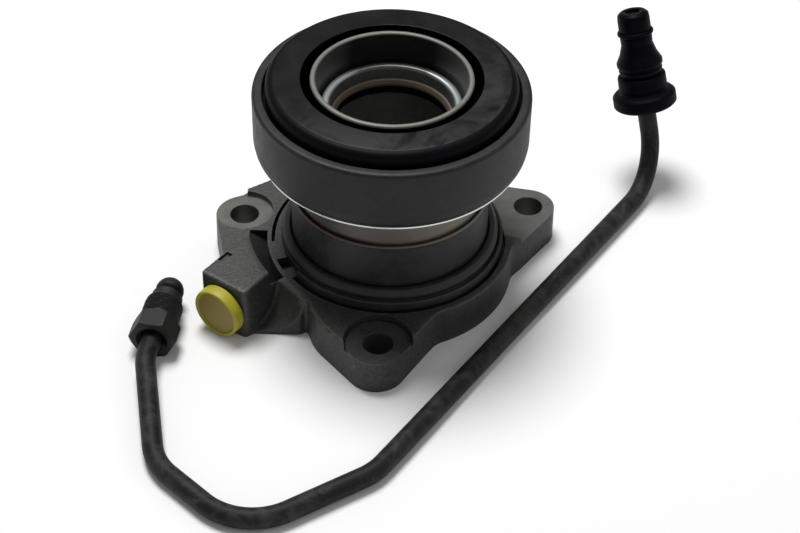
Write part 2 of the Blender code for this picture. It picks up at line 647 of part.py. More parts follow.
def make_piston_group(parts, rubber, steel, plastic, carriage):
    """The annular piston with its cup seal and the washer that the spring bears on."""
    seat = ring_section(PISTON_BORE, PISTON_RADIUS, SPRING_SEAT_TOP - SPRING_SEAT_THICKNESS, SPRING_SEAT_TOP)
    put(turned("spring_seat", seat, SEAL_STEPS), parts, carriage, steel)
    low = SEAL_TOP - SEAL_HEIGHT
    cup = [
        (PISTON_RADIUS - 0.3 * MM, SEAL_TOP), (PISTON_RADIUS, SEAL_TOP - 0.5 * MM), (PISTON_RADIUS, low),
        (PISTON_RADIUS - SEAL_LIP, low), (PISTON_RADIUS - 1.7 * SEAL_LIP, SEAL_TOP - 1.0 * MM),
        (PISTON_BORE + 1.7 * SEAL_LIP, SEAL_TOP - 1.0 * MM), (PISTON_BORE + SEAL_LIP, low),
        (PISTON_BORE, low), (PISTON_BORE, SEAL_TOP - 0.5 * MM), (PISTON_BORE + 0.3 * MM, SEAL_TOP),
    ]
    put(turned("piston_seal", cup, SEAL_STEPS), parts, carriage, rubber)
    neck = PISTON_BORE + PISTON_NECK_WALL
    neck_top = GUIDE_TOP - GUIDE_BEAD_HEIGHT - SEAT_GAP
    relief_low = PISTON_TOP - PISTON_RELIEF_DEPTH
    land = 1.5 * MM
    body = [
        (PISTON_RADIUS - 0.2 * MM, PISTON_TOP), (PISTON_RADIUS, PISTON_TOP - 0.2 * MM),
        (PISTON_RADIUS, PISTON_BOTTOM + 0.3 * MM), (PISTON_RADIUS - 0.3 * MM, PISTON_BOTTOM),
        (PISTON_BORE + 0.3 * MM, PISTON_BOTTOM), (PISTON_BORE, PISTON_BOTTOM + 0.3 * MM),
        (PISTON_BORE, neck_top), (neck, neck_top), (neck, PISTON_TOP), (neck + 0.8 * MM, PISTON_TOP),
        (neck + 0.8 * MM, relief_low), (PISTON_RADIUS - land, relief_low), (PISTON_RADIUS - land, PISTON_TOP),
    ]
    return put(turned("piston", body, INNER_STEPS), parts, carriage, plastic)


def make_carrier(parts, material, carriage):
    """The plated bearing carrier: the disc under the bearing and the sleeve through its middle."""
    rim_bore = RIM_RADIUS - RIM_WALL
    plate_radius = SHELL_RADIUS - SHELL_TAPER - 0.2 * MM
    round_over = RIM_WALL / 2
    crown = arc((rim_bore + round_over, CONTACT_HEIGHT - round_over), round_over, math.pi, 0.0, 4)
    section = crown + [
        (RIM_RADIUS, PLATE_TOP + 0.4 * MM), (RIM_RADIUS + 0.4 * MM, PLATE_TOP), (plate_radius, PLATE_TOP),
        (plate_radius, PLATE_TOP - PLATE_EDGE), (plate_radius - 1.2 * MM, PLATE_BOTTOM),
        (rim_bore + 0.8 * MM, PLATE_BOTTOM), (rim_bore, PLATE_BOTTOM + 0.8 * MM),
    ]
    return put(turned("bearing_carrier", section), parts, carriage, material)


def make_shell(parts, material, carriage):
    """The pressed shell round the bearing: rounded over at its lip and drawn in at its foot."""
    shoulder = (SHELL_RADIUS - SHELL_ROUND, SHELL_TOP - SHELL_ROUND)
    foot_radius = SHELL_RADIUS - SHELL_TAPER
    foot_rise = SHELL_FOOT_RISE
    lip = SHELL_RADIUS - SHELL_LIP
    section = [(lip, SHELL_TOP - 0.4 * MM), (lip + 0.3 * MM, SHELL_TOP)]
    section += arc(shoulder, SHELL_ROUND, math.pi / 2, 0.0, 4)
    section += [
        (SHELL_RADIUS, SHELL_BOTTOM + foot_rise), (SHELL_RADIUS - 0.35 * SHELL_TAPER, SHELL_BOTTOM + 1.1 * MM),
        (foot_radius, SHELL_BOTTOM), (SHELL_BORE - SHELL_TAPER * 0.1, SHELL_BOTTOM),
        (SHELL_BORE, SHELL_BOTTOM + foot_rise), (SHELL_BORE, SHELL_TOP - SHELL_ROUND),
        (SHELL_BORE - 0.4 * MM, SHELL_TOP - SHELL_WALL - 0.2 * MM), (lip, SHELL_TOP - SHELL_WALL - 0.2 * MM),
    ]
    return put(turned("bearing_shell", section), parts, carriage, material)


def make_races(parts, steel, dark, rubber, carriage, rotor):
    """The still outer race, the shield above it, and the ring that turns with the clutch."""
    ball = (BALL_CIRCLE, BALL_HEIGHT)
    outer = SHELL_BORE - SHELL_TAPER * 0.1 - SEAT_GAP
    track = arc(ball, RACE_RADIUS, math.radians(10.0), math.radians(-80.0), 4)
    still = [(outer, BALL_HEIGHT + RACE_RIM), (outer, PLATE_TOP + SEAT_GAP)]
    still += [(track[-1][0] - 0.3 * MM, PLATE_TOP + SEAT_GAP)]
    still += track[::-1]
    still += [(track[0][0] + 0.7 * MM, BALL_HEIGHT + RACE_RIM)]
    put(turned("outer_race", still, INNER_STEPS), parts, carriage, steel)

    skirt = SHELL_RADIUS - SHELL_LIP - LIP_CLEARANCE
    under = CONTACT_HEIGHT - CONTACT_THICKNESS
    track = arc(ball, RACE_RADIUS, math.radians(190.0), math.radians(100.0), 4)
    round_centre = (skirt - CONTACT_SHOULDER, CONTACT_HEIGHT - CONTACT_SHOULDER)
    ring = [(CONTACT_BORE + 0.3 * MM, CONTACT_HEIGHT)]
    ring += arc(round_centre, CONTACT_SHOULDER, math.pi / 2, 0.0, 4)
    ring += [(skirt, SKIRT_LOW), (skirt - CONTACT_SKIRT_WALL, SKIRT_LOW), (skirt - CONTACT_SKIRT_WALL, under)]
    ring += [(track[-1][0] + 0.6 * MM, under), (track[-1][0] + 0.3 * MM, track[-1][1] + 0.5 * MM)]
    ring += track[::-1]
    ring += [(track[0][0], track[0][1] - 1.4 * MM), (CONTACT_BORE, track[0][1] - 1.4 * MM)]
    ring += [(CONTACT_BORE, CONTACT_HEIGHT - 0.3 * MM)]
    put(turned("contact_ring", ring), parts, rotor, dark)

    shield = ring_section(skirt - CONTACT_SKIRT_WALL / 3, outer, SHIELD_LOW, SKIRT_LOW - SEAT_GAP)
    put(turned("bearing_shield", shield, SEAL_STEPS), parts, carriage, rubber)


def make_balls(parts, steel, brass, cage_body):
    """The balls, and the cage that spaces them: a cone of sheet between the two races."""
    across = Vector((math.cos(CONTACT_TILT), math.sin(CONTACT_TILT)))
    along = Vector((-across.y, across.x))
    ball = Vector((BALL_CIRCLE, BALL_HEIGHT))
    half = along * CAGE_LENGTH / 2
    wall = across * CAGE_WALL / 2
    section = [ball + half + wall, ball - half + wall, ball - half - wall, ball + half - wall]
    cage = turned("ball_cage", [tuple(point) for point in section], 3 * BALL_COUNT)
    put(cage, parts, cage_body, brass)
    pocket_radius = BALL_RADIUS + 0.35 * MM
    pocket = [(0.0, BALL_RADIUS * 2), (pocket_radius, BALL_RADIUS * 2), (pocket_radius, -BALL_RADIUS * 2),
              (0.0, -BALL_RADIUS * 2)]
    sphere = bpy.data.meshes.new("ball")
    shape = bmesh.new()
    bmesh.ops.create_uvsphere(shape, u_segments=10, v_segments=6, radius=BALL_RADIUS)
    shape.to_mesh(sphere)
    shape.free()
    sphere.shade_smooth()
    sphere.materials.append(steel)
    for i in range(BALL_COUNT):
        angle = math.tau * (i + 0.5) / BALL_COUNT
        flat = polar(BALL_CIRCLE, angle)
        place = Vector((flat.x, flat.y, BALL_HEIGHT))
        tool = turned(f"pocket_{i + 1:02d}", pocket, 8)
        outward = Vector((across.x * math.cos(angle), across.x * math.sin(angle), across.y))
        put(aim(tool, place, outward), TOOLS, cage_body)
        cut(cage, tool)
        ball_object = bpy.data.objects.new(f"ball_{i + 1:02d}", sphere)
        ball_object.location = place
        ball_object.rotation_euler.z = angle
        put(ball_object, parts, cage_body)


def line_points():
    """The pressure line's middle: straight runs joined by bends of one radius."""
    nut_height = NUT_FLATS / 2
    forward = polar(1.0, NUT_ANGLE)
    total = NUT_HEX_LENGTH + NUT_THREAD_LENGTH + NUT_NOSE_LENGTH + SEAT_GAP
    front = NUT_BACK + forward * total
    first = NUT_BACK - forward * NUT_STRAIGHT
    lean = polar(math.sin(LINE_END_LEAN), LINE_END_ANGLE)
    rise = Vector((lean.x, lean.y, math.cos(LINE_END_LEAN)))
    route = [Vector((front.x, front.y, nut_height)), Vector((first.x, first.y, nut_height))]
    corner = first
    for run, heading in ((FIRST_RUN, FIRST_HEADING), (FRONT_RUN, FRONT_HEADING),
                         (RISING_RUN, RISING_HEADING), (LONG_RUN, LONG_HEADING)):
        corner = corner + polar(run, heading)
        route.append(Vector((corner.x, corner.y, PIPE_RADIUS)))
    last = route[-1]
    bend_angle = rise.angle(last - route[-2])
    bend_end = last + rise * BEND_RADIUS * math.tan(bend_angle / 2)
    inside = LINE_END_STRAIGHT + GROMMET_FLANGE + GROMMET_COLLAR + CONNECTOR_BORE_DEPTH
    route.append(bend_end + rise * inside)
    points = [route[0]]
    for before, corner, after in zip(route, route[1:], route[2:]):
        points += bend_points(before, corner, after)
    points.append(route[-1])
    return points, bend_end, rise


def bend_points(before, corner, after):
    """A round bend at one corner of the route."""
    arriving = (corner - before).normalized()
    leaving = (after - corner).normalized()
    turn = arriving.angle(leaving)
    setback = BEND_RADIUS * math.tan(turn / 2)
    start = corner - arriving * setback
    inward = (leaving - arriving * arriving.dot(leaving)).normalized()
    count = max(2, math.ceil(math.degrees(turn) / 12.0))
    points = []
    for i in range(count + 1):
        angle = turn * i / count
        points.append(start + arriving * BEND_RADIUS * math.sin(angle)
                      + inward * BEND_RADIUS * (1 - math.cos(angle)))
    return points


def make_line(parts, steel, zinc, rubber, plastic, nut_body):
    """The bent steel line, its tube nut at one end and its plug-in connector at the other."""
    points, bend_end, rise = line_points()
    curve = bpy.data.curves.new("line_path", "CURVE")
    curve.dimensions = "3D"
    curve.bevel_depth = PIPE_RADIUS
    curve.bevel_resolution = 3
    curve.use_fill_caps = True
    forward = (points[0] - points[1]).normalized()
    flare = [(1.0, 0.55), (0.85, 0.85), (0.55, 1.0), (0.3, 1.0)]
    rings = [(points[0] + forward * FLARE_LENGTH * along, size * FLARE_RADIUS) for along, size in flare]
    rings += [(place, PIPE_RADIUS) for place in points]
    spline = curve.splines.new("POLY")
    spline.points.add(len(rings) - 1)
    for point, (place, radius) in zip(spline.points, rings):
        point.co = (*place, 1.0)
        point.radius = radius / PIPE_RADIUS
    pipe = freeze(bpy.data.objects.new("line_path", curve), "pressure_pipe")
    bore = [(0.0, FLARE_LENGTH * 2), (PIPE_BORE, FLARE_LENGTH * 2), (PIPE_BORE, -FLARE_LENGTH),
            (0.0, -FLARE_LENGTH)]
    bore_tool = put(aim(turned("flare_bore", bore, 12), points[0], forward), TOOLS, AXIS)
    cut(pipe, bore_tool)
    put(pipe, parts, AXIS, steel)
    make_nut(parts, zinc, nut_body)
    make_line_end(parts, rubber, plastic, bend_end + rise * LINE_END_STRAIGHT, rise)


def make_nut(parts, material, nut_body):
    """The tube nut: a chamfered hexagon, the threaded shank and a plain nose."""
    bore = PIPE_RADIUS + SEAT_GAP
    flats_corner = NUT_FLATS / 2 / math.cos(math.pi / 6)
    corner = flats_corner - 0.12 * MM
    thread_end = NUT_HEX_LENGTH + NUT_THREAD_LENGTH
    end = thread_end + NUT_NOSE_LENGTH
    relief = NUT_THREAD_RADIUS - 0.4 * MM
    section = [
        (bore, end), (NUT_NOSE_RADIUS - 0.3 * MM, end), (NUT_NOSE_RADIUS, end - 0.3 * MM),
        (NUT_NOSE_RADIUS, thread_end), (NUT_THREAD_RADIUS - 0.5 * MM, thread_end),
        (NUT_THREAD_RADIUS, thread_end - 0.5 * MM), (NUT_THREAD_RADIUS, NUT_HEX_LENGTH + 1.2 * MM),
        (relief, NUT_HEX_LENGTH + 0.9 * MM), (relief, NUT_HEX_LENGTH), (corner - 0.8 * MM, NUT_HEX_LENGTH),
        (corner, NUT_HEX_LENGTH - 0.5 * MM), (corner, 0.5 * MM), (corner - 0.8 * MM, 0.0),
        (bore + 1.3 * MM, 0.0), (bore, 1.3 * MM),
    ]
    nut = turned("tube_nut", section, 36)
    outline = [polar(flats_corner, math.tau * i / 6) for i in range(6)]
    hexagon = put(plate("nut_hexagon", outline, -end, end * 2), TOOLS, nut_body)
    cut(nut, hexagon, "INTERSECT")
    return put(nut, parts, nut_body, material)


def make_line_end(parts, rubber, plastic, start, rise):
    """The rubber grommet on the line, and the plug-in connector above it with its sealing ring."""
    bore = PIPE_RADIUS + SEAT_GAP
    height = GROMMET_FLANGE + GROMMET_COLLAR
    grommet = [
        (GROMMET_COLLAR_RADIUS - 0.4 * MM, height), (GROMMET_COLLAR_RADIUS, height - 0.4 * MM),
        (GROMMET_COLLAR_RADIUS, GROMMET_FLANGE), (GROMMET_RADIUS - 0.8 * MM, GROMMET_FLANGE),
        (GROMMET_RADIUS, GROMMET_FLANGE - 0.8 * MM), (GROMMET_RADIUS, 0.5 * MM),
        (GROMMET_RADIUS - 0.5 * MM, 0.0), (bore, 0.0), (bore, height),
    ]
    put(aim(turned("line_grommet", grommet, SEAL_STEPS), start, rise), parts, AXIS, rubber)
    seat = start + rise * (height + SEAT_GAP)
    cone_top = CONNECTOR_CONE
    ring_low = cone_top + CONNECTOR_RING_PLACE
    ring_floor = CONNECTOR_NECK_RADIUS - CONNECTOR_RING_SECTION / 2 + SEAT_GAP
    ring_high = ring_low + CONNECTOR_RING_SECTION + 2 * SEAT_GAP
    top = cone_top + CONNECTOR_HEAD
    recess = CONNECTOR_NECK_RADIUS * 0.45
    body = [
        (0.0, top - 1.0 * MM), (recess, top - 1.0 * MM), (recess, top), (CONNECTOR_NECK_RADIUS - 1.2 * MM, top),
        (CONNECTOR_NECK_RADIUS - 0.3 * MM, top - 0.6 * MM), (CONNECTOR_NECK_RADIUS, top - 1.6 * MM),
        (CONNECTOR_NECK_RADIUS, ring_high), (ring_floor - SEAT_GAP, ring_high), (ring_floor - SEAT_GAP, ring_low),
        (CONNECTOR_NECK_RADIUS, ring_low), (CONNECTOR_NECK_RADIUS - 0.2 * MM, cone_top),
        (CONNECTOR_CONE_RADIUS, 2.6 * MM), (CONNECTOR_CONE_RADIUS, 1.4 * MM),
        (CONNECTOR_CONE_RADIUS - 0.5 * MM, 0.6 * MM), (CONNECTOR_CONE_RADIUS - 0.5 * MM, 0.0), (bore, 0.0),
        (bore, CONNECTOR_BORE_DEPTH + SEAT_GAP), (0.0, CONNECTOR_BORE_DEPTH + SEAT_GAP),
    ]
    put(aim(turned("line_connector", body, SEAL_STEPS), seat, rise), parts, AXIS, plastic)
    ring = o_ring_section(ring_floor, ring_low + SEAT_GAP, CONNECTOR_RING_SECTION)
    put(aim(turned("connector_o_ring", ring, SMALL_STEPS), seat, rise), parts, AXIS, rubber)


def empty(name, parent=None):
    marker = bpy.data.objects.new(name, None)
    marker.empty_display_size = 10 * MM
    marker.parent = parent
    bpy.context.scene.collection.objects.link(marker)
    return marker


def build():
    parts = new_collection("concentric_slave_cylinder")
    cast = finish_material("cast_aluminium", (0.075, 0.075, 0.068), 0.62, 0.35)
    drawn = finish_material("dark_drawn_steel", (0.045, 0.045, 0.045), 0.45, 0.55)
    black = finish_material("blackened_steel", (0.018, 0.018, 0.019), 0.38, 0.5)
    zinc = finish_material("zinc_plating", (0.62, 0.64, 0.66), 0.28, 1.0)
    bright = finish_material("bearing_steel", (0.55, 0.56, 0.58), 0.15, 1.0)
    phosphate = finish_material("phosphated_steel", (0.022, 0.022, 0.022), 0.5, 0.4)
    coated = finish_material("coated_line_steel", (0.05, 0.05, 0.048), 0.42, 0.5)
    nylon = finish_material("piston_nylon", (0.16, 0.13, 0.11), 0.4, 0.0)
    seal = finish_material("tan_seal_rubber", (0.42, 0.27, 0.15), 0.55, 0.0)
    rubber = finish_material("black_rubber", (0.012, 0.012, 0.014), 0.6, 0.0)
    black_plastic = finish_material("black_plastic", (0.01, 0.01, 0.018), 0.4, 0.0)
    yellow = finish_material("yellow_plastic", (0.62, 0.56, 0.02), 0.38, 0.0)

    make_housing(parts, cast)
    make_guide_tube(parts, zinc)
    make_shaft_seal(parts, seal)
    make_sleeve(parts, drawn)
    make_static_seals(parts, rubber)
    make_plug(parts, yellow)
    make_spring(parts, bright)

    carriage = empty("carriage", AXIS)
    rotor = empty("contact_ring_axis", carriage)
    cage_body = empty("ball_set_axis", carriage)
    make_piston_group(parts, rubber, bright, nylon, carriage)
    make_carrier(parts, zinc, carriage)
    make_shell(parts, drawn, carriage)
    make_races(parts, bright, black, rubber, carriage, rotor)
    make_balls(parts, bright, nylon, cage_body)

    nut_body = empty("tube_nut_axis", AXIS)
    forward = polar(1.0, NUT_ANGLE)
    aim(nut_body, (NUT_BACK.x, NUT_BACK.y, NUT_FLATS / 2), (forward.x, forward.y, 0.0))
    make_line(parts, coated, phosphate, rubber, black_plastic, nut_body)


clear_scene()
TOOLS = new_collection("cutters")
AXIS = empty("cylinder_axis")
AXIS.location.xy = AXIS_PLACE
build()
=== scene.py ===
"""The looks of a concentric clutch slave cylinder and its pressure line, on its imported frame."""
import math

import bmesh
import bpy
from mathutils import Matrix, Vector


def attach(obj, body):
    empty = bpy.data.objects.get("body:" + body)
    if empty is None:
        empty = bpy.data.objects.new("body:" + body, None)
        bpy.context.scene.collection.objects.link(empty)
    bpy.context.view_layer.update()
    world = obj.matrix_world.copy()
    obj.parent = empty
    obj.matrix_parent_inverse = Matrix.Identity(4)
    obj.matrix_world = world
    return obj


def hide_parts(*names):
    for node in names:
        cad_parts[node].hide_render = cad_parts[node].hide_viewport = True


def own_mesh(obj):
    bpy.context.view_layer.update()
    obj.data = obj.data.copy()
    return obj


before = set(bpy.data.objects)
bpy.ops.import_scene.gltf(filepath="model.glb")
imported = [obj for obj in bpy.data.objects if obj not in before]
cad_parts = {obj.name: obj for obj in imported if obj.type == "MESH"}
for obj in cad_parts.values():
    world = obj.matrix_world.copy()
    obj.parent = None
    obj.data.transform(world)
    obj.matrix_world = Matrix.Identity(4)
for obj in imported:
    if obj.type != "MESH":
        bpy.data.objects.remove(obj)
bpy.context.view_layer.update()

MM = 0.001
AXIS = Vector((-6.2, 18.3, 0.0)) * MM
BODY = "cylinder_body"
CARRIAGE = "carriage_body"
CONTACT = "contact_body"
NUT = "nut_body"

# Sizes in millimetres, from the cylinder's axis and its mounting face
EAR_CIRCLE = 37.2
EAR_RADIUS = 7.0
RIGHT_EAR_RADIUS = 6.5
EAR_HEIGHT = 8.8
EAR_HOLE = 3.55
LEFT_EAR = math.radians(167.0)
RIGHT_EAR = math.radians(21.8)
FRONT_EAR = math.radians(267.0)
DECK_RADIUS = 30.0
DECK_HEIGHT = 10.2
BASE_EXTRA = 3.0
TOOL_TOP = 20.0
TOOL_LOW = -5.0
TOOL_REACH = 30.0
WING_SIDE = 36.0
WING_EDGES = ((math.pi, WING_SIDE), (math.radians(125.8), 34.6), (math.radians(108.0), DECK_RADIUS))
GROOVE_RADIUS = 26.9
GROOVE_WIDTH = 1.5
SLOT_RADIUS = 28.0
SLOT_WIDTH = 0.9
GROOVE_DEPTH = 4.2
GROOVE_END = math.radians(140.0)
SLOT_START = math.radians(146.0)
BRIDGE_START = math.radians(187.0)
BRIDGE_END = math.radians(216.0)
PORT_ANGLE = math.radians(235.0)
PORT_FACE = 41.6
PORT_OFFSET = 18.2
PORT_HEIGHT = 6.8
PORT_RADIUS = 4.4
PORT_DEPTH = 10.0
BOSS_WIDTH = 13.2
BOSS_HEIGHT = 14.5
BOSS_CORNER = 1.7
BOSS_RELIEF_RADIUS = 34.2
RELIEF_FLOOR = 10.0
POCKET_START = math.radians(179.0)
POCKET_END = math.radians(213.5)
POCKET_FLOORS = (9.7, 6.6)
POCKET_FALL = 2.4
GUIDE_RADIUS = 15.6
CONTACT_TOP = 57.5
ON_AXIS = 0.001
PORT_IN = Vector((-math.cos(PORT_ANGLE), -math.sin(PORT_ANGLE)))
PORT_SIDE = Vector((PORT_IN.y, -PORT_IN.x))

# The pressure line, in millimetres from the cylinder's axis
PIPE_RADIUS = 2.37
BEND_RADIUS = 15.0
NUT_FLATS = 10.0
NUT_HEX = 5.8
NUT_THREAD = 7.2
NUT_NOSE = 2.4
THREAD_RADIUS = 4.65
THREAD_DEPTH = 0.55
THREAD_PITCH = 1.0
SLIP = 0.3
NUT_BACK = Vector((-54.9, -34.0, NUT_FLATS / 2))
NUT_ANGLE = math.radians(82.0)
FORWARD = Vector((math.cos(NUT_ANGLE), math.sin(NUT_ANGLE), 0.0))
LINE_CORNERS = ((-50.4, -69.9), (-29.9, -89.2), (-1.7, -71.2), (69.2, 34.9))
LINE_END_ANGLE = math.radians(126.5)
LINE_END_LEAN = math.radians(20.2)
LINE_END_STRAIGHT = 6.9
CONNECTOR_SEAT = 8.9
CONNECTOR_BORE_DEPTH = 7.3
RISE = Vector((math.sin(LINE_END_LEAN) * math.cos(LINE_END_ANGLE),
               math.sin(LINE_END_LEAN) * math.sin(LINE_END_ANGLE), math.cos(LINE_END_LEAN)))


class Flow:
    """An output socket of a material's node tree, which takes part in ordinary maths."""

    def __init__(self, tree, socket=None):
        self.tree = tree
        self.socket = socket

    def node(self, kind, settings, inputs, output=0):
        """Add any node: its settings first, then the values or links of its sockets."""
        made = self.tree.nodes.new(kind)
        for name, value in settings.items():
            if name == "stops":
                fill_ramp(made.color_ramp, value)
            else:
                setattr(made, name, value)
        for key, value in inputs.items():
            if isinstance(value, Flow):
                self.tree.links.new(value.socket, made.inputs[key])
            else:
                made.inputs[key].default_value = value
        return Flow(self.tree, made.outputs[output])

    def maths(self, operation, *values):
        return self.node("ShaderNodeMath", {"operation": operation}, dict(enumerate(values)))

    def __abs__(self):
        return self.maths("ABSOLUTE", self)

    def __add__(self, other):
        return self.maths("ADD", self, other)

    def __radd__(self, other):
        return self.maths("ADD", other, self)

    def __sub__(self, other):
        return self.maths("SUBTRACT", self, other)

    def __rsub__(self, other):
        return self.maths("SUBTRACT", other, self)

    def __mul__(self, other):
        return self.maths("MULTIPLY", self, other)

    def __rmul__(self, other):
        return self.maths("MULTIPLY", other, self)


def fill_ramp(ramp, stops):
    """Set a colour ramp's stops from (position, grey value) pairs."""
    while len(ramp.elements) < len(stops):
        ramp.elements.new(0.5)
    for element, (position, value) in zip(ramp.elements, stops):
        element.position = position
        element.color = (value, value, value, 1.0)


def noise(flow, place, scale, detail=3.0, roughness=0.55, distortion=0.0):
    return flow.node("ShaderNodeTexNoise", {}, {"Vector": place, "Scale": scale, "Detail": detail,
                                                "Roughness": roughness, "Distortion": distortion})


def ramp(flow, value, *stops):
    return flow.node("ShaderNodeValToRGB", {"stops": stops}, {"Fac": value})


def blend(flow, share, first, second):
    """Mix two colours by a mask."""
    return flow.node("ShaderNodeMix", {"data_type": "RGBA"}, {"Factor": share, 6: first, 7: second}, 2)


def tone(colour, factor=1.0):
    return (colour[0] * factor, colour[1] * factor, colour[2] * factor, 1.0)


def mask(flow, place, scale, low, high, detail=3.0, roughness=0.55, distortion=0.0):
    """Noise that is hardened into patches between two of its values."""
    return ramp(flow, noise(flow, place, scale, detail, roughness, distortion), (low, 0.0), (high, 1.0))


def vector_maths(flow, operation, first, second=(0.0, 0.0, 0.0), output=0):
    return flow.node("ShaderNodeVectorMath", {"operation": operation}, {0: first, 1: second}, output)


def coordinate(flow, place, axis):
    return flow.node("ShaderNodeSeparateXYZ", {}, {"Vector": place}, axis)


def turned_place(flow, place, lengthwise=0.04):
    """Coordinates that run round the cylinder's axis: lathe marks follow them on any turned face."""
    moved = vector_maths(flow, "SUBTRACT", place, tuple(AXIS))
    flat = vector_maths(flow, "MULTIPLY", moved, (1.0, 1.0, 0.0))
    radius = vector_maths(flow, "LENGTH", flat, output=1)
    height = coordinate(flow, moved, 2)
    small = vector_maths(flow, "MULTIPLY", flat, (lengthwise, lengthwise, lengthwise))
    rings = flow.node("ShaderNodeCombineXYZ", {}, {"X": radius, "Y": 0.0, "Z": height})
    return vector_maths(flow, "ADD", rings, small)


def lathe_lines(flow, place, scale, roughness=0.6):
    return noise(flow, turned_place(flow, place), scale, 2.0, roughness)


def start_material(name):
    """A new material, its node tree's flow, and the coordinates that its patterns follow."""
    material = bpy.data.materials.new(name)
    material.use_nodes = True
    flow = Flow(material.node_tree)
    return material, flow, flow.node("ShaderNodeTexCoord", {}, {}, 3)


def close_material(material, colour, roughness, metallic, bump=None, strength=0.2, distance=0.05 * MM,
                   specular=0.5, coat=0.0, coat_roughness=0.2):
    """Link the finished channels to the shader. Plain numbers are set on its own sockets."""
    shader = material.node_tree.nodes["Principled BSDF"]
    flow = Flow(material.node_tree)
    channels = {"Base Color": colour, "Roughness": roughness, "Metallic": metallic}
    for key, value in channels.items():
        if isinstance(value, Flow):
            material.node_tree.links.new(value.socket, shader.inputs[key])
        else:
            shader.inputs[key].default_value = value
    shader.inputs["Specular IOR Level"].default_value = specular
    shader.inputs["Coat Weight"].default_value = coat
    shader.inputs["Coat Roughness"].default_value = coat_roughness
    if bump:
        normal = flow.node("ShaderNodeBump", {}, {"Height": bump, "Strength": strength, "Distance": distance})
        material.node_tree.links.new(normal.socket, shader.inputs["Normal"])
    return material


def cast_finish(name, shade=1.0, edge_wear_and_highlight=0.0):
    """Shot-blasted die-cast aluminium: sandy grain, darker in patches, lighter on its sharp edges as wear and
    as a painted highlight. A shade below one darkens its colours as painted shade.
    """
    material, flow, place = start_material(name)
    patches = mask(flow, place, 90.0, 0.32, 0.7, 4.0, 0.6)
    grain = noise(flow, place, 2600.0, 2.0, 0.6)
    speck = mask(flow, place, 1300.0, 0.4, 0.62, 2.0, 0.7)
    base = blend(flow, patches, tone((0.027, 0.027, 0.026), shade), tone((0.044, 0.044, 0.042), shade))
    colour = blend(flow, speck * 0.35, base, tone((0.080, 0.080, 0.077), shade))
    if edge_wear_and_highlight:
        # Wear and painted highlight: sharp convex edges are blended towards a light grey.
        sharpness = flow.node("ShaderNodeNewGeometry", {}, {}, 7)
        worn_and_lit = ramp(flow, sharpness, (0.515, 0.0), (0.60, 1.0))
        colour = blend(flow, worn_and_lit * edge_wear_and_highlight, colour, tone((0.150, 0.150, 0.145)))
    rough = 0.5 + patches * 0.12 - speck * 0.06
    height = grain * 0.7 + speck * 0.5
    return close_material(material, colour, rough, 0.35, height, 0.55, 0.09 * MM)


def machined_finish():
    """Milled or bored aluminium, with fine tool marks."""
    material, flow, place = start_material("machined_aluminium")
    marks = noise(flow, place, 1500.0, 2.0, 0.5)
    patches = mask(flow, place, 220.0, 0.3, 0.7, 3.0, 0.6)
    colour = blend(flow, patches, tone((0.085, 0.086, 0.076)), tone((0.118, 0.120, 0.106)))
    return close_material(material, colour, 0.42 + patches * 0.1, 0.5, marks, 0.25, 0.03 * MM)


def drawn_steel_finish(name, dark, light, rough, metallic=0.45):
    """Drawn steel with a dark satin coat: faint drawing lines round it, cloudy wear and small flecks."""
    material, flow, place = start_material(name)
    lines = lathe_lines(flow, place, 2600.0)
    clouds = mask(flow, place, 120.0, 0.3, 0.72, 4.0, 0.6, 0.4)
    fine = noise(flow, place, 1700.0, 2.0, 0.6)
    flecks = mask(flow, place, 620.0, 0.42, 0.62, 3.0, 0.7)
    share = clouds * 0.45 + flecks * 0.3 + lines * 0.3
    colour = blend(flow, share, tone(dark), tone(light))
    return close_material(material, colour, rough + clouds * 0.1 + flecks * 0.08, metallic,
                          lines * 0.6 + fine * 0.5 + flecks * 0.8, 0.35, 0.03 * MM)


def black_oxide_finish():
    """The hardened black ring: smooth, oily, wiped unevenly in patches; the patches are painted lighter
    towards one side, as painted light.
    """
    material, flow, place = start_material("black_oxide")
    # Painted light: the ring's lighter tone fades from one side to the other by place alone, standing for
    # light falling from that side.
    ring_light_side = (11.0, -16.0, 0.0)
    towards = vector_maths(flow, "DOT_PRODUCT", place, ring_light_side, 1)
    shaded = ramp(flow, towards + 0.6, (0.1, 0.15), (0.75, 1.0))
    side_light_share = mask(flow, place, 75.0, 0.38, 0.6, 5.0, 0.62, 1.2) * shaded
    rings = lathe_lines(flow, place, 1500.0, 0.5)
    specks = mask(flow, place, 900.0, 0.62, 0.75, 2.0, 0.7)
    base = blend(flow, side_light_share, tone((0.002, 0.002, 0.003)), tone((0.026, 0.026, 0.027)))
    colour = blend(flow, specks * 0.3, base, tone((0.035, 0.035, 0.037)))
    rough = 0.26 + side_light_share * 0.22 + rings * 0.05
    return close_material(material, colour, rough, 0.1, rings + side_light_share * 0.3, 0.12, 0.02 * MM, specular=0.2)


def zinc_finish(name, dark, light, rough):
    """Bright zinc plate."""
    material, flow, place = start_material(name)
    lines = lathe_lines(flow, place, 1800.0)
    colour = blend(flow, noise(flow, place, 160.0, 3.0, 0.6), tone(dark), tone(light))
    return close_material(material, colour, rough + lines * 0.14, 0.9, lines, 0.2, 0.015 * MM)


def side_lit_zinc_finish(name, dark, light, highlight_colour, reach, rough=0.34):
    """Zinc plate with painted highlights: plain at the front and the back, and painted bright towards its two
    sides.
    """
    material, flow, place = start_material(name)
    # Painted highlight: the bright colour grows with the sideways distance from the axis.
    across = abs(coordinate(flow, place, 0) - AXIS.x)
    painted_highlight_share = ramp(flow, across * (1.0 / (reach * MM)), (0.5, 0.0), (0.95, 1.0))
    lines = lathe_lines(flow, place, 1800.0)
    plain_tone = blend(flow, noise(flow, place, 260.0), tone(dark), tone(light))
    colour = blend(flow, painted_highlight_share, plain_tone, tone(highlight_colour))
    return close_material(material, colour, rough - painted_highlight_share * 0.08 + lines * 0.1, 0.9, lines, 0.2, 0.015 * MM)


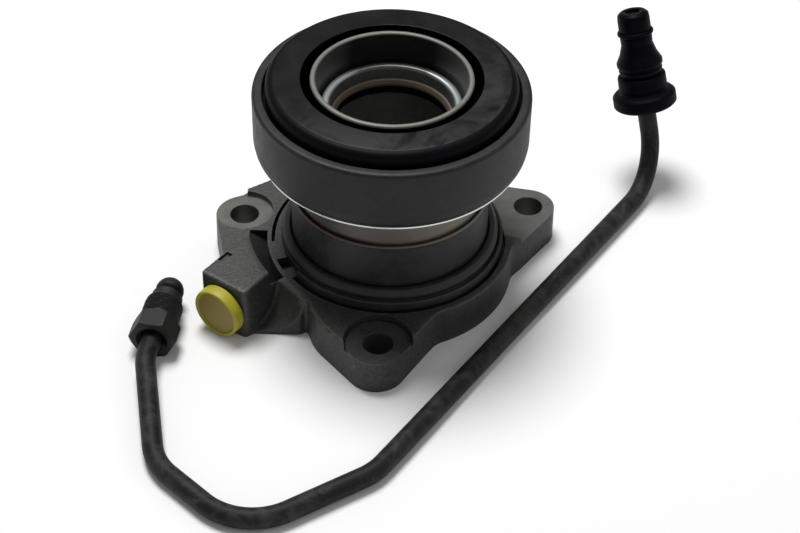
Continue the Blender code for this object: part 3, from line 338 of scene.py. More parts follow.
def shade_black_finish():
    """Painted shade: deep black with hardly any shine, for the ring's shoulder and bore and the gaps beside
    the rim and the shell, where shade falls.
    """
    material, flow, place = start_material("painted_shade_black")
    fine = noise(flow, place, 1500.0, 2.0, 0.6)
    colour = blend(flow, fine, tone((0.0006, 0.0006, 0.0016)), tone((0.002, 0.002, 0.0035)))
    return close_material(material, colour, 0.45 + fine * 0.1, 0.0, fine, 0.15, 0.02 * MM, specular=0.08)


def ground_steel_finish():
    """Ground bearing steel."""
    material, flow, place = start_material("ground_bearing_steel")
    lines = lathe_lines(flow, place, 3000.0)
    colour = blend(flow, lines, tone((0.34, 0.34, 0.35)), tone((0.5, 0.5, 0.51)))
    return close_material(material, colour, 0.14 + lines * 0.1, 1.0, lines, 0.15, 0.01 * MM)


def greasy_sleeve_finish():
    """The piston's skirt: grey, with turned bands and traces of reddish grease low down; grey and grease are
    painted lighter towards one side, as painted light.
    """
    material, flow, place = start_material("greasy_piston_skirt")
    bands = noise(flow, turned_place(flow, place, 0.1), 700.0, 3.0, 0.6)
    grease_foot = 26.2 * MM
    grease_height = 6.25 * MM
    rise = (coordinate(flow, place, 2) - grease_foot) * (1.0 / grease_height)
    low = ramp(flow, rise, (0.0, 1.0), (0.55, 0.75), (1.0, 0.12))
    smears = mask(flow, place, 170.0, 0.42, 0.62, 4.0, 0.6, 1.5) * low
    # Painted light: the skirt is lighter towards one side by place alone, standing for light from that side.
    skirt_light_side = (24.0, -4.0, 0.0)
    towards = vector_maths(flow, "DOT_PRODUCT", place, skirt_light_side, 1)
    side_light_share = ramp(flow, towards + 0.5, (0.1, 0.0), (0.85, 1.0))
    dull = blend(flow, bands, tone((0.032, 0.032, 0.032)), tone((0.070, 0.069, 0.066)))
    base = blend(flow, side_light_share, dull, tone((0.155, 0.145, 0.125)))
    grease = blend(flow, side_light_share, tone((0.085, 0.040, 0.032)), tone((0.180, 0.120, 0.062)))
    colour = blend(flow, smears * 0.85, base, grease)
    return close_material(material, colour, 0.34 + bands * 0.2, 0.3, bands, 0.2, 0.03 * MM, coat=0.2,
                          coat_roughness=0.3)


def moulded_finish(name, dark, light, rough, grain=1400.0, strength=0.2, specular=0.5):
    """Moulded rubber or plastic with a faint grain and cloudy shine."""
    material, flow, place = start_material(name)
    clouds = noise(flow, place, 260.0, 3.0, 0.6)
    fine = noise(flow, place, grain, 2.0, 0.6)
    colour = blend(flow, clouds, tone(dark), tone(light))
    return close_material(material, colour, rough + clouds * 0.12, 0.0, fine, strength, 0.03 * MM, specular)


def line_finish():
    """The coated steel line: dark grey, scuffed lighter, with brown traces."""
    material, flow, place = start_material("coated_line")
    scuffs = mask(flow, place, 210.0, 0.45, 0.7, 5.0, 0.65, 1.0)
    brown = mask(flow, place, 60.0, 0.55, 0.75, 3.0, 0.6)
    fine = noise(flow, place, 1900.0, 2.0, 0.6)
    base = blend(flow, scuffs, tone((0.008, 0.008, 0.009)), tone((0.040, 0.040, 0.040)))
    colour = blend(flow, brown * 0.5, base, tone((0.055, 0.046, 0.036)))
    return close_material(material, colour, 0.55 + scuffs * 0.14, 0.1, fine * 0.8 + scuffs * 0.6, 0.35,
                          0.04 * MM, specular=0.22)


# The cast skin's last number lightens its sharp edges, as wear and as a painted highlight.
CAST = cast_finish("cast_aluminium_skin", 1.0, 0.45)
CUT_CAST = cast_finish("cast_aluminium_cut")
# Painted shade: the boss's pocket gets the cast colour darkened to a third, where shade falls.
PAINTED_SHADE_CAST = cast_finish("cast_aluminium_painted_shade", 0.34)
MACHINED = machined_finish()
SHELL_STEEL = drawn_steel_finish("satin_shell_steel", (0.002, 0.002, 0.003), (0.026, 0.026, 0.027), 0.46)
SLEEVE_STEEL = drawn_steel_finish("dark_sleeve_steel", (0.012, 0.012, 0.012), (0.038, 0.037, 0.036), 0.42)
WORN_STEEL = drawn_steel_finish("worn_sleeve_steel", (0.024, 0.024, 0.024), (0.044, 0.044, 0.043), 0.42)
RIM_ZINC = drawn_steel_finish("plated_rim", (0.125, 0.130, 0.112), (0.180, 0.186, 0.160), 0.44, 0.3)
TUBE_ZINC = drawn_steel_finish("dulled_tube", (0.085, 0.087, 0.080), (0.150, 0.150, 0.138), 0.4, 0.4)
BLACK_RING = black_oxide_finish()
# Painted shade: near-black for shaded gaps, the contact ring's bore and its shoulder.
PAINTED_SHADE_BLACK = shade_black_finish()
# Painted highlight: the bead's zinc is painted bright towards its left and right sides.
BEAD_ZINC = side_lit_zinc_finish("bead_zinc", (0.055, 0.058, 0.054), (0.092, 0.096, 0.088),
                              (0.58, 0.62, 0.63), 15.4)
# Painted shade: darker zinc for the rim's walls, where shade falls, still painted bright towards its sides.
SHADE_ZINC = side_lit_zinc_finish("painted_shade_zinc", (0.030, 0.030, 0.032), (0.060, 0.060, 0.062),
                             (0.34, 0.35, 0.34), 19.0, 0.44)
EDGE_ZINC = zinc_finish("rubbed_zinc", (0.62, 0.63, 0.62), (0.78, 0.79, 0.78), 0.16)
GROUND = ground_steel_finish()
PISTON_SKIN = greasy_sleeve_finish()
LINE_SKIN = line_finish()
PHOSPHATE = moulded_finish("phosphated_steel", (0.005, 0.005, 0.006), (0.016, 0.016, 0.017), 0.5,
                           2200.0, 0.3, 0.3)
BLACK_RUBBER = moulded_finish("black_rubber", (0.0004, 0.0004, 0.0016), (0.0016, 0.0016, 0.004), 0.5,
                              specular=0.06)
BLACK_PLASTIC = moulded_finish("black_nylon", (0.0004, 0.0004, 0.0014), (0.0016, 0.0016, 0.0036), 0.42,
                               specular=0.06)
TAN_RUBBER = moulded_finish("tan_rubber", (0.070, 0.050, 0.033), (0.105, 0.082, 0.056), 0.55)
YELLOW = moulded_finish("yellow_plug", (0.33, 0.29, 0.012), (0.41, 0.365, 0.020), 0.4, 900.0, 0.12)
PLUG_FACE = moulded_finish("plug_face", (0.24, 0.18, 0.032), (0.31, 0.24, 0.048), 0.5, 1200.0, 0.2)


def polar(radius, angle):
    return Vector((radius * math.cos(angle), radius * math.sin(angle)))


def rounded(section, arcs=5):
    """Round the corners of a closed section given as (across, up, corner radius), in millimetres."""
    count = len(section)
    points = []
    for i, (x, y, radius) in enumerate(section):
        here = Vector((x, y))
        before = Vector(section[i - 1][:2]) - here
        after = Vector(section[(i + 1) % count][:2]) - here
        corner = before.angle(after)
        if radius <= 0 or abs(corner - math.pi) < 0.05:
            points.append(here)
            continue
        reach = min(radius / math.tan(corner / 2), before.length * 0.48, after.length * 0.48)
        start = here + before.normalized() * reach
        end = here + after.normalized() * reach
        for k in range(arcs + 1):
            share = k / arcs
            points.append(start.lerp(here, share).lerp(here.lerp(end, share), share))
    return points


def add_piece(name, shape, materials, body, replaced=(), smooth_angle=35.0):
    """Turn a bmesh into a piece that rides on a body."""
    bmesh.ops.recalc_face_normals(shape, faces=shape.faces)
    mesh = bpy.data.meshes.new(name)
    shape.to_mesh(mesh)
    shape.free()
    for material in materials:
        mesh.materials.append(material)
    mesh.shade_smooth()
    mesh.set_sharp_from_angle(angle=math.radians(smooth_angle))
    piece = bpy.data.objects.new(name, mesh)
    bpy.context.scene.collection.objects.link(piece)
    if body:
        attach(piece, body)
    if replaced:
        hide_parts(*replaced)
    return piece


def ring_grid(rings, closed_section=True, materials=None):
    """A bmesh from rings of points. Each ring is closed; the rings form a loop, or end in caps."""
    shape = bmesh.new()
    rows = [[shape.verts.new(point) for point in ring] for ring in rings]
    count = len(rows)
    last = count if closed_section else count - 1
    for i in range(last):
        here = rows[i]
        there = rows[(i + 1) % count]
        size = len(here)
        for k in range(size):
            face = shape.faces.new((here[k], here[(k + 1) % size], there[(k + 1) % size], there[k]))
            if materials:
                face.material_index = materials[i]
    if not closed_section:
        shape.faces.new(rows[0])
        shape.faces.new(rows[-1])
    return shape


def stand(origin, direction):
    """The matrix that puts a piece made round Z at a point, along a direction."""
    turn = Vector(direction).to_track_quat("Z", "Y").to_matrix().to_4x4()
    return Matrix.Translation(origin) @ turn


def turned_rings(section, steps, place, change=None):
    """Rings of points round Z from a section in millimetres, moved to their place."""
    rings = []
    for x, y in section:
        ring = []
        for k in range(steps):
            angle = math.tau * k / steps
            radius = (change(angle, x, y) if change else x) * MM
            ring.append(place @ Vector((radius * math.cos(angle), radius * math.sin(angle), y * MM)))
        rings.append(ring)
    return rings


def turn_piece(name, section, material, body, replaced=(), steps=160, place=None, arcs=5, open_middle=True,
               others=()):
    """A turned piece from a section with rounded corners. Other finishes come with a test for their place."""
    points = rounded(section, arcs)
    place = place or Matrix.Translation(AXIS)
    indices = []
    for point in points:
        indices.append(next((i + 1 for i, (finish, test) in enumerate(others) if test(point)), 0))
    shape = ring_grid(turned_rings(points, steps, place), open_middle, indices)
    return add_piece(name, shape, [material] + [finish for finish, test in others], body, replaced)


def lug_reach(direction, tip, tip_radius, root, root_radius):
    """How far a lug reaches: it is swept by a circle that changes from its tip towards its root."""
    reach = 0.0
    steps = 32
    for i in range(steps + 1):
        share = i / steps
        centre = tip.lerp(root, share)
        radius = tip_radius + (root_radius - tip_radius) * share
        along = centre.dot(direction)
        inside = radius ** 2 - (centre.length_squared - along ** 2)
        if inside > 0:
            reach = max(reach, along + math.sqrt(inside))
    return reach


def wing_reach(angle):
    """The raised wing behind the left ear, bounded by three straight edges."""
    reach = 99.0
    for facing, distance in WING_EDGES:
        towards = math.cos(angle - facing)
        if towards <= 0.4:
            return 0.0
        reach = min(reach, distance / towards)
    return reach


def housing_outline(count):
    """The casting seen from above, blended where the lugs run into the round deck."""
    root_circle = EAR_CIRCLE - 2 * EAR_RADIUS
    left_centre = polar(EAR_CIRCLE, LEFT_EAR)
    left = (left_centre, EAR_RADIUS, polar(root_circle, LEFT_EAR), 13.0)
    foot = (left_centre, EAR_RADIUS, polar(35.0, math.radians(195.0)), 6.0)
    right = (polar(EAR_CIRCLE, RIGHT_EAR), RIGHT_EAR_RADIUS, polar(root_circle, RIGHT_EAR), 14.0)
    front_tip = polar(EAR_CIRCLE, FRONT_EAR - math.radians(0.7))
    front = (front_tip, EAR_RADIUS, polar(root_circle, FRONT_EAR - math.radians(5.5)), 15.2)
    sharpness = 34
    outline = []
    for i in range(count):
        angle = math.tau * i / count
        direction = polar(1.0, angle)
        left_reach = max(lug_reach(direction, *left), lug_reach(direction, *foot))
        reaches = [DECK_RADIUS, wing_reach(angle), left_reach]
        reaches += [lug_reach(direction, *right), lug_reach(direction, *front)]
        largest = max(reaches)
        total = sum((reach / largest) ** sharpness for reach in reaches)
        outline.append(polar(largest * total ** (1 / sharpness), angle))
    return outline


def prism(shape, outline, low, high, low_scale=1.0):
    """Add an upright solid with a flat outline, in millimetres from the cylinder's axis."""
    bottom = [shape.verts.new(AXIS + Vector((x * low_scale, y * low_scale, low)) * MM) for x, y in outline]
    top = [shape.verts.new(AXIS + Vector((x, y, high)) * MM) for x, y in outline]
    size = len(outline)
    shape.faces.new(bottom)
    shape.faces.new(top)
    for k in range(size):
        shape.faces.new((bottom[k], bottom[(k + 1) % size], top[(k + 1) % size], top[k]))


def plug_solid(shape, section, place, steps, material=0):
    """Add a turned solid whose section starts and ends on its own axis."""
    rings = turned_rings(section[1:-1], steps, place)
    rows = [[shape.verts.new(point) for point in ring] for ring in rings]
    faces = [shape.faces.new(rows[0]), shape.faces.new(rows[-1])]
    for here, there in zip(rows, rows[1:]):
        for k in range(steps):
            faces.append(shape.faces.new((here[k], here[(k + 1) % steps], there[(k + 1) % steps], there[k])))
    for face in faces:
        face.material_index = material


def temporary(shape, name, materials=()):
    bmesh.ops.recalc_face_normals(shape, faces=shape.faces)
    mesh = bpy.data.meshes.new(name)
    shape.to_mesh(mesh)
    shape.free()
    for material in materials:
        mesh.materials.append(material)
    piece = bpy.data.objects.new(name, mesh)
    bpy.context.scene.collection.objects.link(piece)
    return piece


def carve(target, tool):
    """Cut a tool out of a piece for good. The cut faces have the tool's finish."""
    boolean = target.modifiers.new("Carve", "BOOLEAN")
    boolean.solver = "EXACT"
    boolean.operation = "DIFFERENCE"
    boolean.material_mode = "TRANSFER"
    boolean.object = tool
    settle(target)
    bpy.data.objects.remove(tool, do_unlink=True)


def settle(target):
    """Apply a piece's modifiers to its mesh."""
    bpy.context.view_layer.update()
    evaluated = target.evaluated_get(bpy.context.evaluated_depsgraph_get())
    mesh = bpy.data.meshes.new_from_object(evaluated)
    old = target.data
    target.modifiers.clear()
    target.data = mesh
    bpy.data.meshes.remove(old)


def port_point(inward, side=0.0, height=PORT_HEIGHT):
    foot = PORT_SIDE * -PORT_OFFSET - PORT_IN * PORT_FACE
    point = foot + PORT_IN * inward + PORT_SIDE * side
    return Vector((point.x, point.y, height))


def band_outline(inner, outer, start, end):
    """The flat outline of a groove that runs round the axis between two angles."""
    count = round(abs(end - start) / math.radians(2.5))
    angles = [start + (end - start) * i / count for i in range(count + 1)]
    return [polar(outer, angle) for angle in angles] + [polar(inner, angle) for angle in reversed(angles)]


def ring_point(radius, height, angle):
    """A point in the scene, from its place round the cylinder's axis."""
    return AXIS + Vector((radius * math.cos(angle), radius * math.sin(angle), height)) * MM


def pocket_tool():
    """A tool that follows the boss round the axis, with a floor that runs down towards the front."""
    steps = 14
    rows = []
    for i in range(steps + 1):
        angle = POCKET_START + (POCKET_END - POCKET_START) * i / steps
        floor = POCKET_FLOORS[0] + (POCKET_FLOORS[1] - POCKET_FLOORS[0]) * i / steps
        corners = ((DECK_RADIUS - 0.1, floor - POCKET_FALL), (BOSS_RELIEF_RADIUS + 0.1, floor),
                   (BOSS_RELIEF_RADIUS + 0.1, TOOL_REACH), (DECK_RADIUS - 0.1, TOOL_REACH))
        rows.append([ring_point(x, y, angle) for x, y in corners])
    shape = ring_grid(rows, False)
    bmesh.ops.triangulate(shape, faces=shape.faces)
    # The pocket's cut faces take the darkened cast colour, as painted shade.
    return temporary(shape, "pocket", [PAINTED_SHADE_CAST])


def make_boss():
    """The square port boss, scooped out behind to clear the bearing's shell."""
    half = BOSS_WIDTH / 2
    length = PORT_FACE - DECK_RADIUS / 2
    corners = [(port_point(0, -half), 0.6), (port_point(0, half), BOSS_CORNER),
               (port_point(length, half), 0.0), (port_point(length, -half), 0.0)]
    outline = rounded([(corner.x, corner.y, radius) for corner, radius in corners])
    block = bmesh.new()
    prism(block, outline, -BASE_EXTRA, BOSS_HEIGHT)
    boss = temporary(block, "boss", [CAST])
    relief = bmesh.new()
    section = [(0, TOOL_REACH), (BOSS_RELIEF_RADIUS, TOOL_REACH), (BOSS_RELIEF_RADIUS, RELIEF_FLOOR),
               (0, RELIEF_FLOOR)]
    plug_solid(relief, section, Matrix.Translation(AXIS), 128)
    carve(boss, temporary(relief, "relief", [CAST]))
    return boss


def make_toe():
    """The foot between the boss and the front ear, with its hollow cove."""
    half = BOSS_WIDTH / 2
    outline = [port_point(1.5, half - 1.0).xy, polar(33.0, math.radians(231.0)),
               polar(24.0, math.radians(236.0)), port_point(15.0, half).xy]
    block = bmesh.new()
    prism(block, outline, -BASE_EXTRA, DECK_HEIGHT - 0.2)
    toe = temporary(block, "toe", [CAST])
    radius = 9.5
    ridge = math.radians(220.2)
    along = polar(1.0, ridge + math.pi / 2)
    middle = ring_point(DECK_RADIUS + radius + 1.2, DECK_HEIGHT + 0.2, ridge)
    section = [(0, TOOL_REACH), (radius, TOOL_REACH), (radius, -TOOL_REACH), (0, -TOOL_REACH)]
    cove = bmesh.new()
    plug_solid(cove, section, stand(middle, (along.x, along.y, 0.0)), 96)
    carve(toe, temporary(cove, "cove", [CAST]))
    return toe


def casting_blank():
    """The raw casting: deck with its lugs, port boss and foot, with soft cast edges."""
    blank = bmesh.new()
    prism(blank, housing_outline(480), -BASE_EXTRA, DECK_HEIGHT, 1.006)
    casting = temporary(blank, "housing_casting", [CAST])
    boss = make_boss()
    toe = make_toe()
    merged = bmesh.new()
    for block in (casting, boss, toe):
        merged.from_mesh(block.data)
    merged.to_mesh(casting.data)
    merged.free()
    for block in (boss, toe):
        bpy.data.objects.remove(block, do_unlink=True)
    remesh = casting.modifiers.new("Skin", "REMESH")
    remesh.mode = "VOXEL"
    remesh.voxel_size = 0.42 * MM
    soften = casting.modifiers.new("Soften", "SMOOTH")
    soften.factor = 0.5
    soften.iterations = 5
    settle(casting)
    return casting


def cut_base(casting):
    """The machined underside."""
    skin = bmesh.new()
    skin.from_mesh(casting.data)
    everything = skin.verts[:] + skin.edges[:] + skin.faces[:]
    cut = bmesh.ops.bisect_plane(skin, geom=everything, plane_co=(0, 0, 0), plane_no=(0, 0, -1),
                                 clear_outer=True)
    rim = [item for item in cut["geom_cut"] if isinstance(item, bmesh.types.BMEdge)]
    base = bmesh.ops.holes_fill(skin, edges=rim, sides=0)
    for face in base["faces"]:
        face.material_index = 1
    skin.to_mesh(casting.data)
    skin.free()
    casting.data.materials.append(MACHINED)


def cut_ears(casting):
    """The ear faces and their bolt holes. The front face is left as cast, in a shallow round relief."""
    ears = bmesh.new()
    relief = EAR_HEIGHT - 0.5
    for angle, radius, machined in ((LEFT_EAR, EAR_RADIUS + 0.2, True), (FRONT_EAR, EAR_RADIUS + 1.1, False),
                                    (RIGHT_EAR, EAR_CIRCLE - DECK_RADIUS + EAR_RADIUS, True)):
        if machined:
            edge = [(radius, EAR_HEIGHT + 0.1), (radius - 0.1, EAR_HEIGHT)]
        else:
            edge = [(radius, relief), (radius - 0.5, relief), (radius - 0.6, EAR_HEIGHT)]
        hole = [(EAR_HOLE + 0.1, EAR_HEIGHT), (EAR_HOLE, EAR_HEIGHT - 0.1), (EAR_HOLE, 0.4),
                (EAR_HOLE + 0.5, -0.1), (EAR_HOLE + 0.5, TOOL_LOW), (0, TOOL_LOW)]
        place = Matrix.Translation(ring_point(EAR_CIRCLE, 0.0, angle))
        plug_solid(ears, [(0, TOOL_TOP), (radius, TOOL_TOP)] + edge + hole, place, 72, int(machined))
    carve(casting, temporary(ears, "ear_tools", [CUT_CAST, MACHINED]))
    flank = bmesh.new()
    corners = ((-46, 9), (-WING_SIDE, 9), (-WING_SIDE, 24), (-46, 24))
    prism(flank, [Vector(corner) for corner in corners], EAR_HEIGHT, TOOL_TOP)
    carve(casting, temporary(flank, "flank_tool", [CUT_CAST]))


def cut_bore(casting):
    """The stepped bore that holds the sleeve, the foot seal and the guide tube's flange."""
    seat, seat_height = 26.0, 8.7
    chamber, chamber_floor = 24.1, 4.6
    seal, seal_floor = 17.1, 3.1
    hole = GUIDE_RADIUS + 0.3
    recess, recess_top = 18.8, 2.3
    section = [(0, TOOL_TOP), (seat, TOOL_TOP), (seat, seat_height), (chamber, seat_height),
               (chamber, chamber_floor), (seal, chamber_floor), (seal, seal_floor), (hole, seal_floor),
               (hole, recess_top), (recess, recess_top), (recess, 0.3), (recess + 0.3, -0.1),
               (recess + 0.3, TOOL_LOW), (0, TOOL_LOW)]
    middle = bmesh.new()
    plug_solid(middle, section, Matrix.Translation(AXIS), 144, 1)
    carve(casting, temporary(middle, "bore_tool", [CUT_CAST, MACHINED]))


def cut_details(casting):
    """The groove round the collar, the slot and the window beside it, the boss's notch and the port."""
    tools = bmesh.new()
    window = 25.9
    bands = ((GROOVE_RADIUS, GROOVE_WIDTH, BRIDGE_END - math.tau, GROOVE_END, GROOVE_DEPTH),
             (SLOT_RADIUS, SLOT_WIDTH, SLOT_START, BRIDGE_START, GROOVE_DEPTH),
             (window, SLOT_RADIUS + SLOT_WIDTH - window, math.radians(200.5), math.radians(209.0), 2.6))
    for inner, width, start, end, depth in bands:
        prism(tools, band_outline(inner, inner + width, start, end), DECK_HEIGHT - depth, TOOL_TOP)
    notch = port_point(7.3, -BOSS_WIDTH / 2, BOSS_HEIGHT).xy
    half = 1.8
    near = 0.4
    far = 2.2
    sides = ((-half, near), (half, near), (half, far), (-half, far))
    corners = [notch + PORT_IN * along + PORT_SIDE * across for along, across in sides]
    prism(tools, corners, BOSS_HEIGHT - 0.8, TOOL_TOP)
    mouth = PORT_RADIUS + 1.0
    section = [(0, PORT_DEPTH + 1), (PORT_RADIUS - 1.6, PORT_DEPTH + 1), (PORT_RADIUS, PORT_DEPTH),
               (PORT_RADIUS, 0.4), (mouth, -0.6), (mouth, TOOL_LOW), (0, TOOL_LOW)]
    plug_solid(tools, section, stand(AXIS + port_point(0.0) * MM, (PORT_IN.x, PORT_IN.y, 0.0)), 48, 1)
    carve(casting, temporary(tools, "tools", [CUT_CAST, MACHINED]))


def machine_casting(casting):
    """Cut the raw casting. The pocket goes first: its sloping tool needs the plain skin."""
    cut_base(casting)
    carve(casting, pocket_tool())
    cut_ears(casting)
    cut_bore(casting)
    cut_details(casting)
    skin = bmesh.new()
    skin.from_mesh(casting.data)
    bmesh.ops.dissolve_degenerate(skin, dist=0.001 * MM, edges=skin.edges)
    bmesh.ops.triangulate(skin, faces=skin.faces)
    skin.to_mesh(casting.data)
    skin.free()
    casting.data.shade_smooth()
    casting.data.set_sharp_from_angle(angle=math.radians(38.0))
    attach(casting, BODY)
    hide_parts("housing")


def make_sleeve():
    """The drawn cylinder wall with its rolled collar."""
    bore = 23.2
    wall = 23.8
    top = 26.6
    collar = 26.4
    crest = 14.75
    nick = 12.3
    section = [
        (wall - 0.1, top, 0.1), (wall + 0.15, top - 0.3, 0.25), (wall, top - 1.0, 0.5),
        (wall, crest - 0.55, 0.0), (wall + 0.55, crest, 0.5), (collar - 0.9, crest, 0.8),
        (collar, crest - 1.15, 1.0), (collar, nick + 0.3, 0.3), (collar - 0.35, nick, 0.25),
        (collar, nick - 0.3, 0.25), (collar, 10.5, 0.3), (wall, 10.5, 0.2), (wall, 9.0, 0.2),
        (bore, 9.0, 0.2), (bore, top - 0.3, 0.2), (bore + 0.2, top, 0.1),
    ]

    def on_crest(point):
        return point.x > wall + 0.4 and point.y > crest - 1.05

    # Painted highlight: the sleeve's top lip takes the lighter skirt colour.
    def on_lip(point):
        return point.y > top - 0.4

    turn_piece("cylinder_sleeve_drawn", section, SLEEVE_STEEL, BODY, ("cylinder_sleeve",), 192,
               others=((WORN_STEEL, on_crest), (PISTON_SKIN, on_lip)))


def make_snap_ring():
    """The open ring that lies in the groove round the sleeve's collar."""
    wire = rounded([(26.65, 12.5, 0.4), (27.6, 12.5, 0.4), (27.6, 10.0, 0.4), (26.65, 10.0, 0.4)])
    start = BRIDGE_END + math.radians(1.5) - math.tau
    end = GROOVE_END - math.radians(1.0)
    count = 180
    rings = []
    for i in range(count + 1):
        angle = start + (end - start) * i / count
        rings.append([ring_point(x, y, angle) for x, y in wire])
    add_piece("sleeve_snap_ring", ring_grid(rings, False), [WORN_STEEL], BODY)


def make_guide():
    """The guide tube with its flange and its rolled bead."""
    bore = 14.4
    top = 50.2
    bead = 16.5
    flange = 18.5
    section = [
        (bore, top, 1.0), (bead, top, 1.0), (bead, top - 1.5, 0.5), (GUIDE_RADIUS, top - 1.9, 0.4),
        (GUIDE_RADIUS, 2.0, 0.3), (flange, 2.0, 0.2), (flange, 0.5, 0.2), (bore, 0.5, 0.5),
    ]

    def in_bore(point):
        return point.x < bore + 0.2 and point.y < top - 0.5

    # The bead's bright sides are painted highlights.
    turn_piece("guide_tube_rolled", section, BEAD_ZINC, BODY, ("guide_tube",), 144,
               others=((TUBE_ZINC, in_bore),))


def make_shaft_seal():
    """The lip seal for the shaft, inside the guide tube."""
    outer = 14.35
    lip = 13.3
    top = 47.0
    low = 43.0
    section = [
        (outer, top, 0.15), (outer, low, 0.2), (outer - 0.55, low, 0.2), (outer - 0.65, top - 1.4, 0.2),
        (lip + 0.05, top - 1.9, 0.1), (lip, top - 1.1, 0.3), (outer - 0.6, top - 0.1, 0.4),
    ]

    def on_heel(point):
        return point.y < top - 1.7

    turn_piece("shaft_seal_lip", section, TAN_RUBBER, BODY, ("shaft_seal",), 128,
               others=((BLACK_RUBBER, on_heel),))


def make_piston():
    """The sliding piston: its skirt shows between the sleeve and the bearing."""
    bore = 15.9
    neck = 17.3
    skirt = 22.9
    top = 37.1
    low = 25.8
    relief = top - 7.0
    section = [
        (skirt - 0.2, top, 0.2), (skirt, top - 0.2, 0.2), (skirt, low + 0.3, 0.3), (skirt - 0.3, low, 0.2),
        (bore + 0.3, low, 0.2), (bore, low + 0.3, 0.2), (bore, 47.9, 0.3), (neck, 47.9, 0.3),
        (neck, top, 0.2), (neck + 0.8, top, 0.2), (neck + 0.8, relief, 0.3), (skirt - 1.5, relief, 0.3),
        (skirt - 1.5, top, 0.2),
    ]
    turn_piece("piston_skirt", section, PISTON_SKIN, CARRIAGE, ("piston",), 160)


def make_spring():
    """The preload spring, as a fixed coil on the cylinder's body."""
    turns = 2.5
    low = 5.8
    high = 20.8
    coil_radius = 19.4
    wire_radius = 0.88
    count = 100
    centres = []
    for i in range(count + 1):
        share = i / count
        middle = polar(coil_radius, math.tau * turns * share)
        centres.append(Vector((middle.x, middle.y, low + (high - low) * share * share * (3 - 2 * share))))
    places = []
    for i, centre in enumerate(centres):
        along = centres[min(i + 1, count)] - centres[max(i - 1, 0)]
        places.append((centre, along.normalized(), wire_radius))
    spring = add_piece("preload_spring_wound", ring_grid(sweep(places, 16), False), [GROUND], BODY,
                       ("preload_spring",))
    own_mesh(spring)


def make_carrier():
    """The plated disc under the bearing, with the rim that shows inside it."""
    bore = 17.6
    rim = 18.9
    edge = 31.0
    top = 38.6
    low = 37.4
    section = [
        (bore, CONTACT_TOP, 0.6), (rim, CONTACT_TOP, 0.6), (rim, top + 0.6, 0.5), (rim + 0.5, top, 0.3),
        (edge, top, 0.1), (edge, top - 0.45, 0.12), (edge - 1.2, low, 0.3), (bore + 0.8, low, 0.4),
        (bore, low + 0.8, 0.4),
    ]
    wall_top = CONTACT_TOP - 0.55

    # Painted shade: the rim's walls take the darker zinc, with painted highlights at its sides.
    def in_rim(point):
        return point.x < bore + 0.4 and point.y < wall_top

    # Painted shade: the narrow gap behind the rim is near-black.
    def behind_rim(point):
        return rim - 0.2 < point.x < rim + 0.1 and point.y < wall_top

    def on_rim(point):
        return point.x < rim + 0.1

    turn_piece("bearing_carrier_plated", section, EDGE_ZINC, CARRIAGE, ("bearing_carrier",), 192,
               others=((SHADE_ZINC, in_rim), (PAINTED_SHADE_BLACK, behind_rim), (RIM_ZINC, on_rim)))


def make_shell():
    """The bearing's pressed outer shell."""
    outer = 32.3
    bore = 31.1
    lip = 29.85
    top = 54.2
    low = 38.9
    section = [
        (lip, top - 0.6, 0.2), (lip + 0.1, top, 0.3), (outer, top, 2.0), (outer, low + 3.0, 2.5),
        (outer - 0.3, low + 1.3, 1.4), (bore + 0.1, low, 0.3), (bore - 0.2, low, 0.1), (bore, low + 2.6, 0.8),
        (bore, top - 1.3, 0.8), (lip, top - 1.3, 0.2),
    ]

    # Painted shade: the shell's foot is near-black, for the shaded gap above the carrier.
    def on_foot(point):
        return point.y < low + 0.8

    turn_piece("bearing_shell_pressed", section, SHELL_STEEL, CARRIAGE, ("bearing_shell",), 256, arcs=8,
               others=((PAINTED_SHADE_BLACK, on_foot),))


def make_contact_ring():
    """The black ring that the clutch turns, in one piece with the inner race."""
    bore = 21.1
    outer = 29.2
    skirt = outer - 1.8
    skirt_low = 52.3
    under = 54.3
    low = 43.7
    section = [
        (bore, CONTACT_TOP, 0.15), (outer, CONTACT_TOP, 2.4), (outer, skirt_low, 0.3),
        (skirt, skirt_low, 0.3), (skirt, under, 0.3), (bore + 4.2, under, 0.3), (bore + 3.9, low + 5.7, 0.2),
        (bore + 2.5, low + 4.7, 0.8), (bore + 1.3, low + 3.3, 0.8), (bore + 1.0, low + 1.3, 0.3),
        (bore + 1.0, low, 0.1), (bore, low, 0.2),
    ]

    # Painted shade: the bore and the rounded shoulder are near-black.
    def in_bore(point):
        return point.x < bore + 0.1 and point.y < CONTACT_TOP - 0.3

    def on_shoulder(point):
        return point.x > outer - 2.3

    turn_piece("contact_ring_hardened", section, BLACK_RING, CONTACT, ("contact_ring",), 256, arcs=8,
               others=((PAINTED_SHADE_BLACK, in_bore), (PAINTED_SHADE_BLACK, on_shoulder)))


def make_plug():
    """The yellow transport plug: a thin lip round a dished, duller face."""
    cap = 6.35
    rim = 3.3
    dish = 5.4
    dish_floor = 2.75
    stem = 4.1
    end = -7.5
    section = [
        (ON_AXIS, dish_floor, 0.0), (dish, dish_floor, 0.3), (dish + 0.3, rim, 0.25), (cap - 0.25, rim, 0.35),
        (cap, rim - 0.8, 0.5), (cap, 0.3, 0.25), (stem, 0.3, 0.15), (stem, end + 0.3, 0.4), (3.0, end, 0.2),
        (3.0, 0.0, 0.2), (ON_AXIS, 0.0, 0.0),
    ]

    def on_face(point):
        return point.y > dish_floor - 0.15 and point.x < dish + 0.05

    place = stand(AXIS + port_point(0.0) * MM, (-PORT_IN.x, -PORT_IN.y, 0.0))
    turn_piece("port_plug_cap", section, YELLOW, BODY, ("port_plug",), 96, place, open_middle=False,
               others=((PLUG_FACE, on_face),))


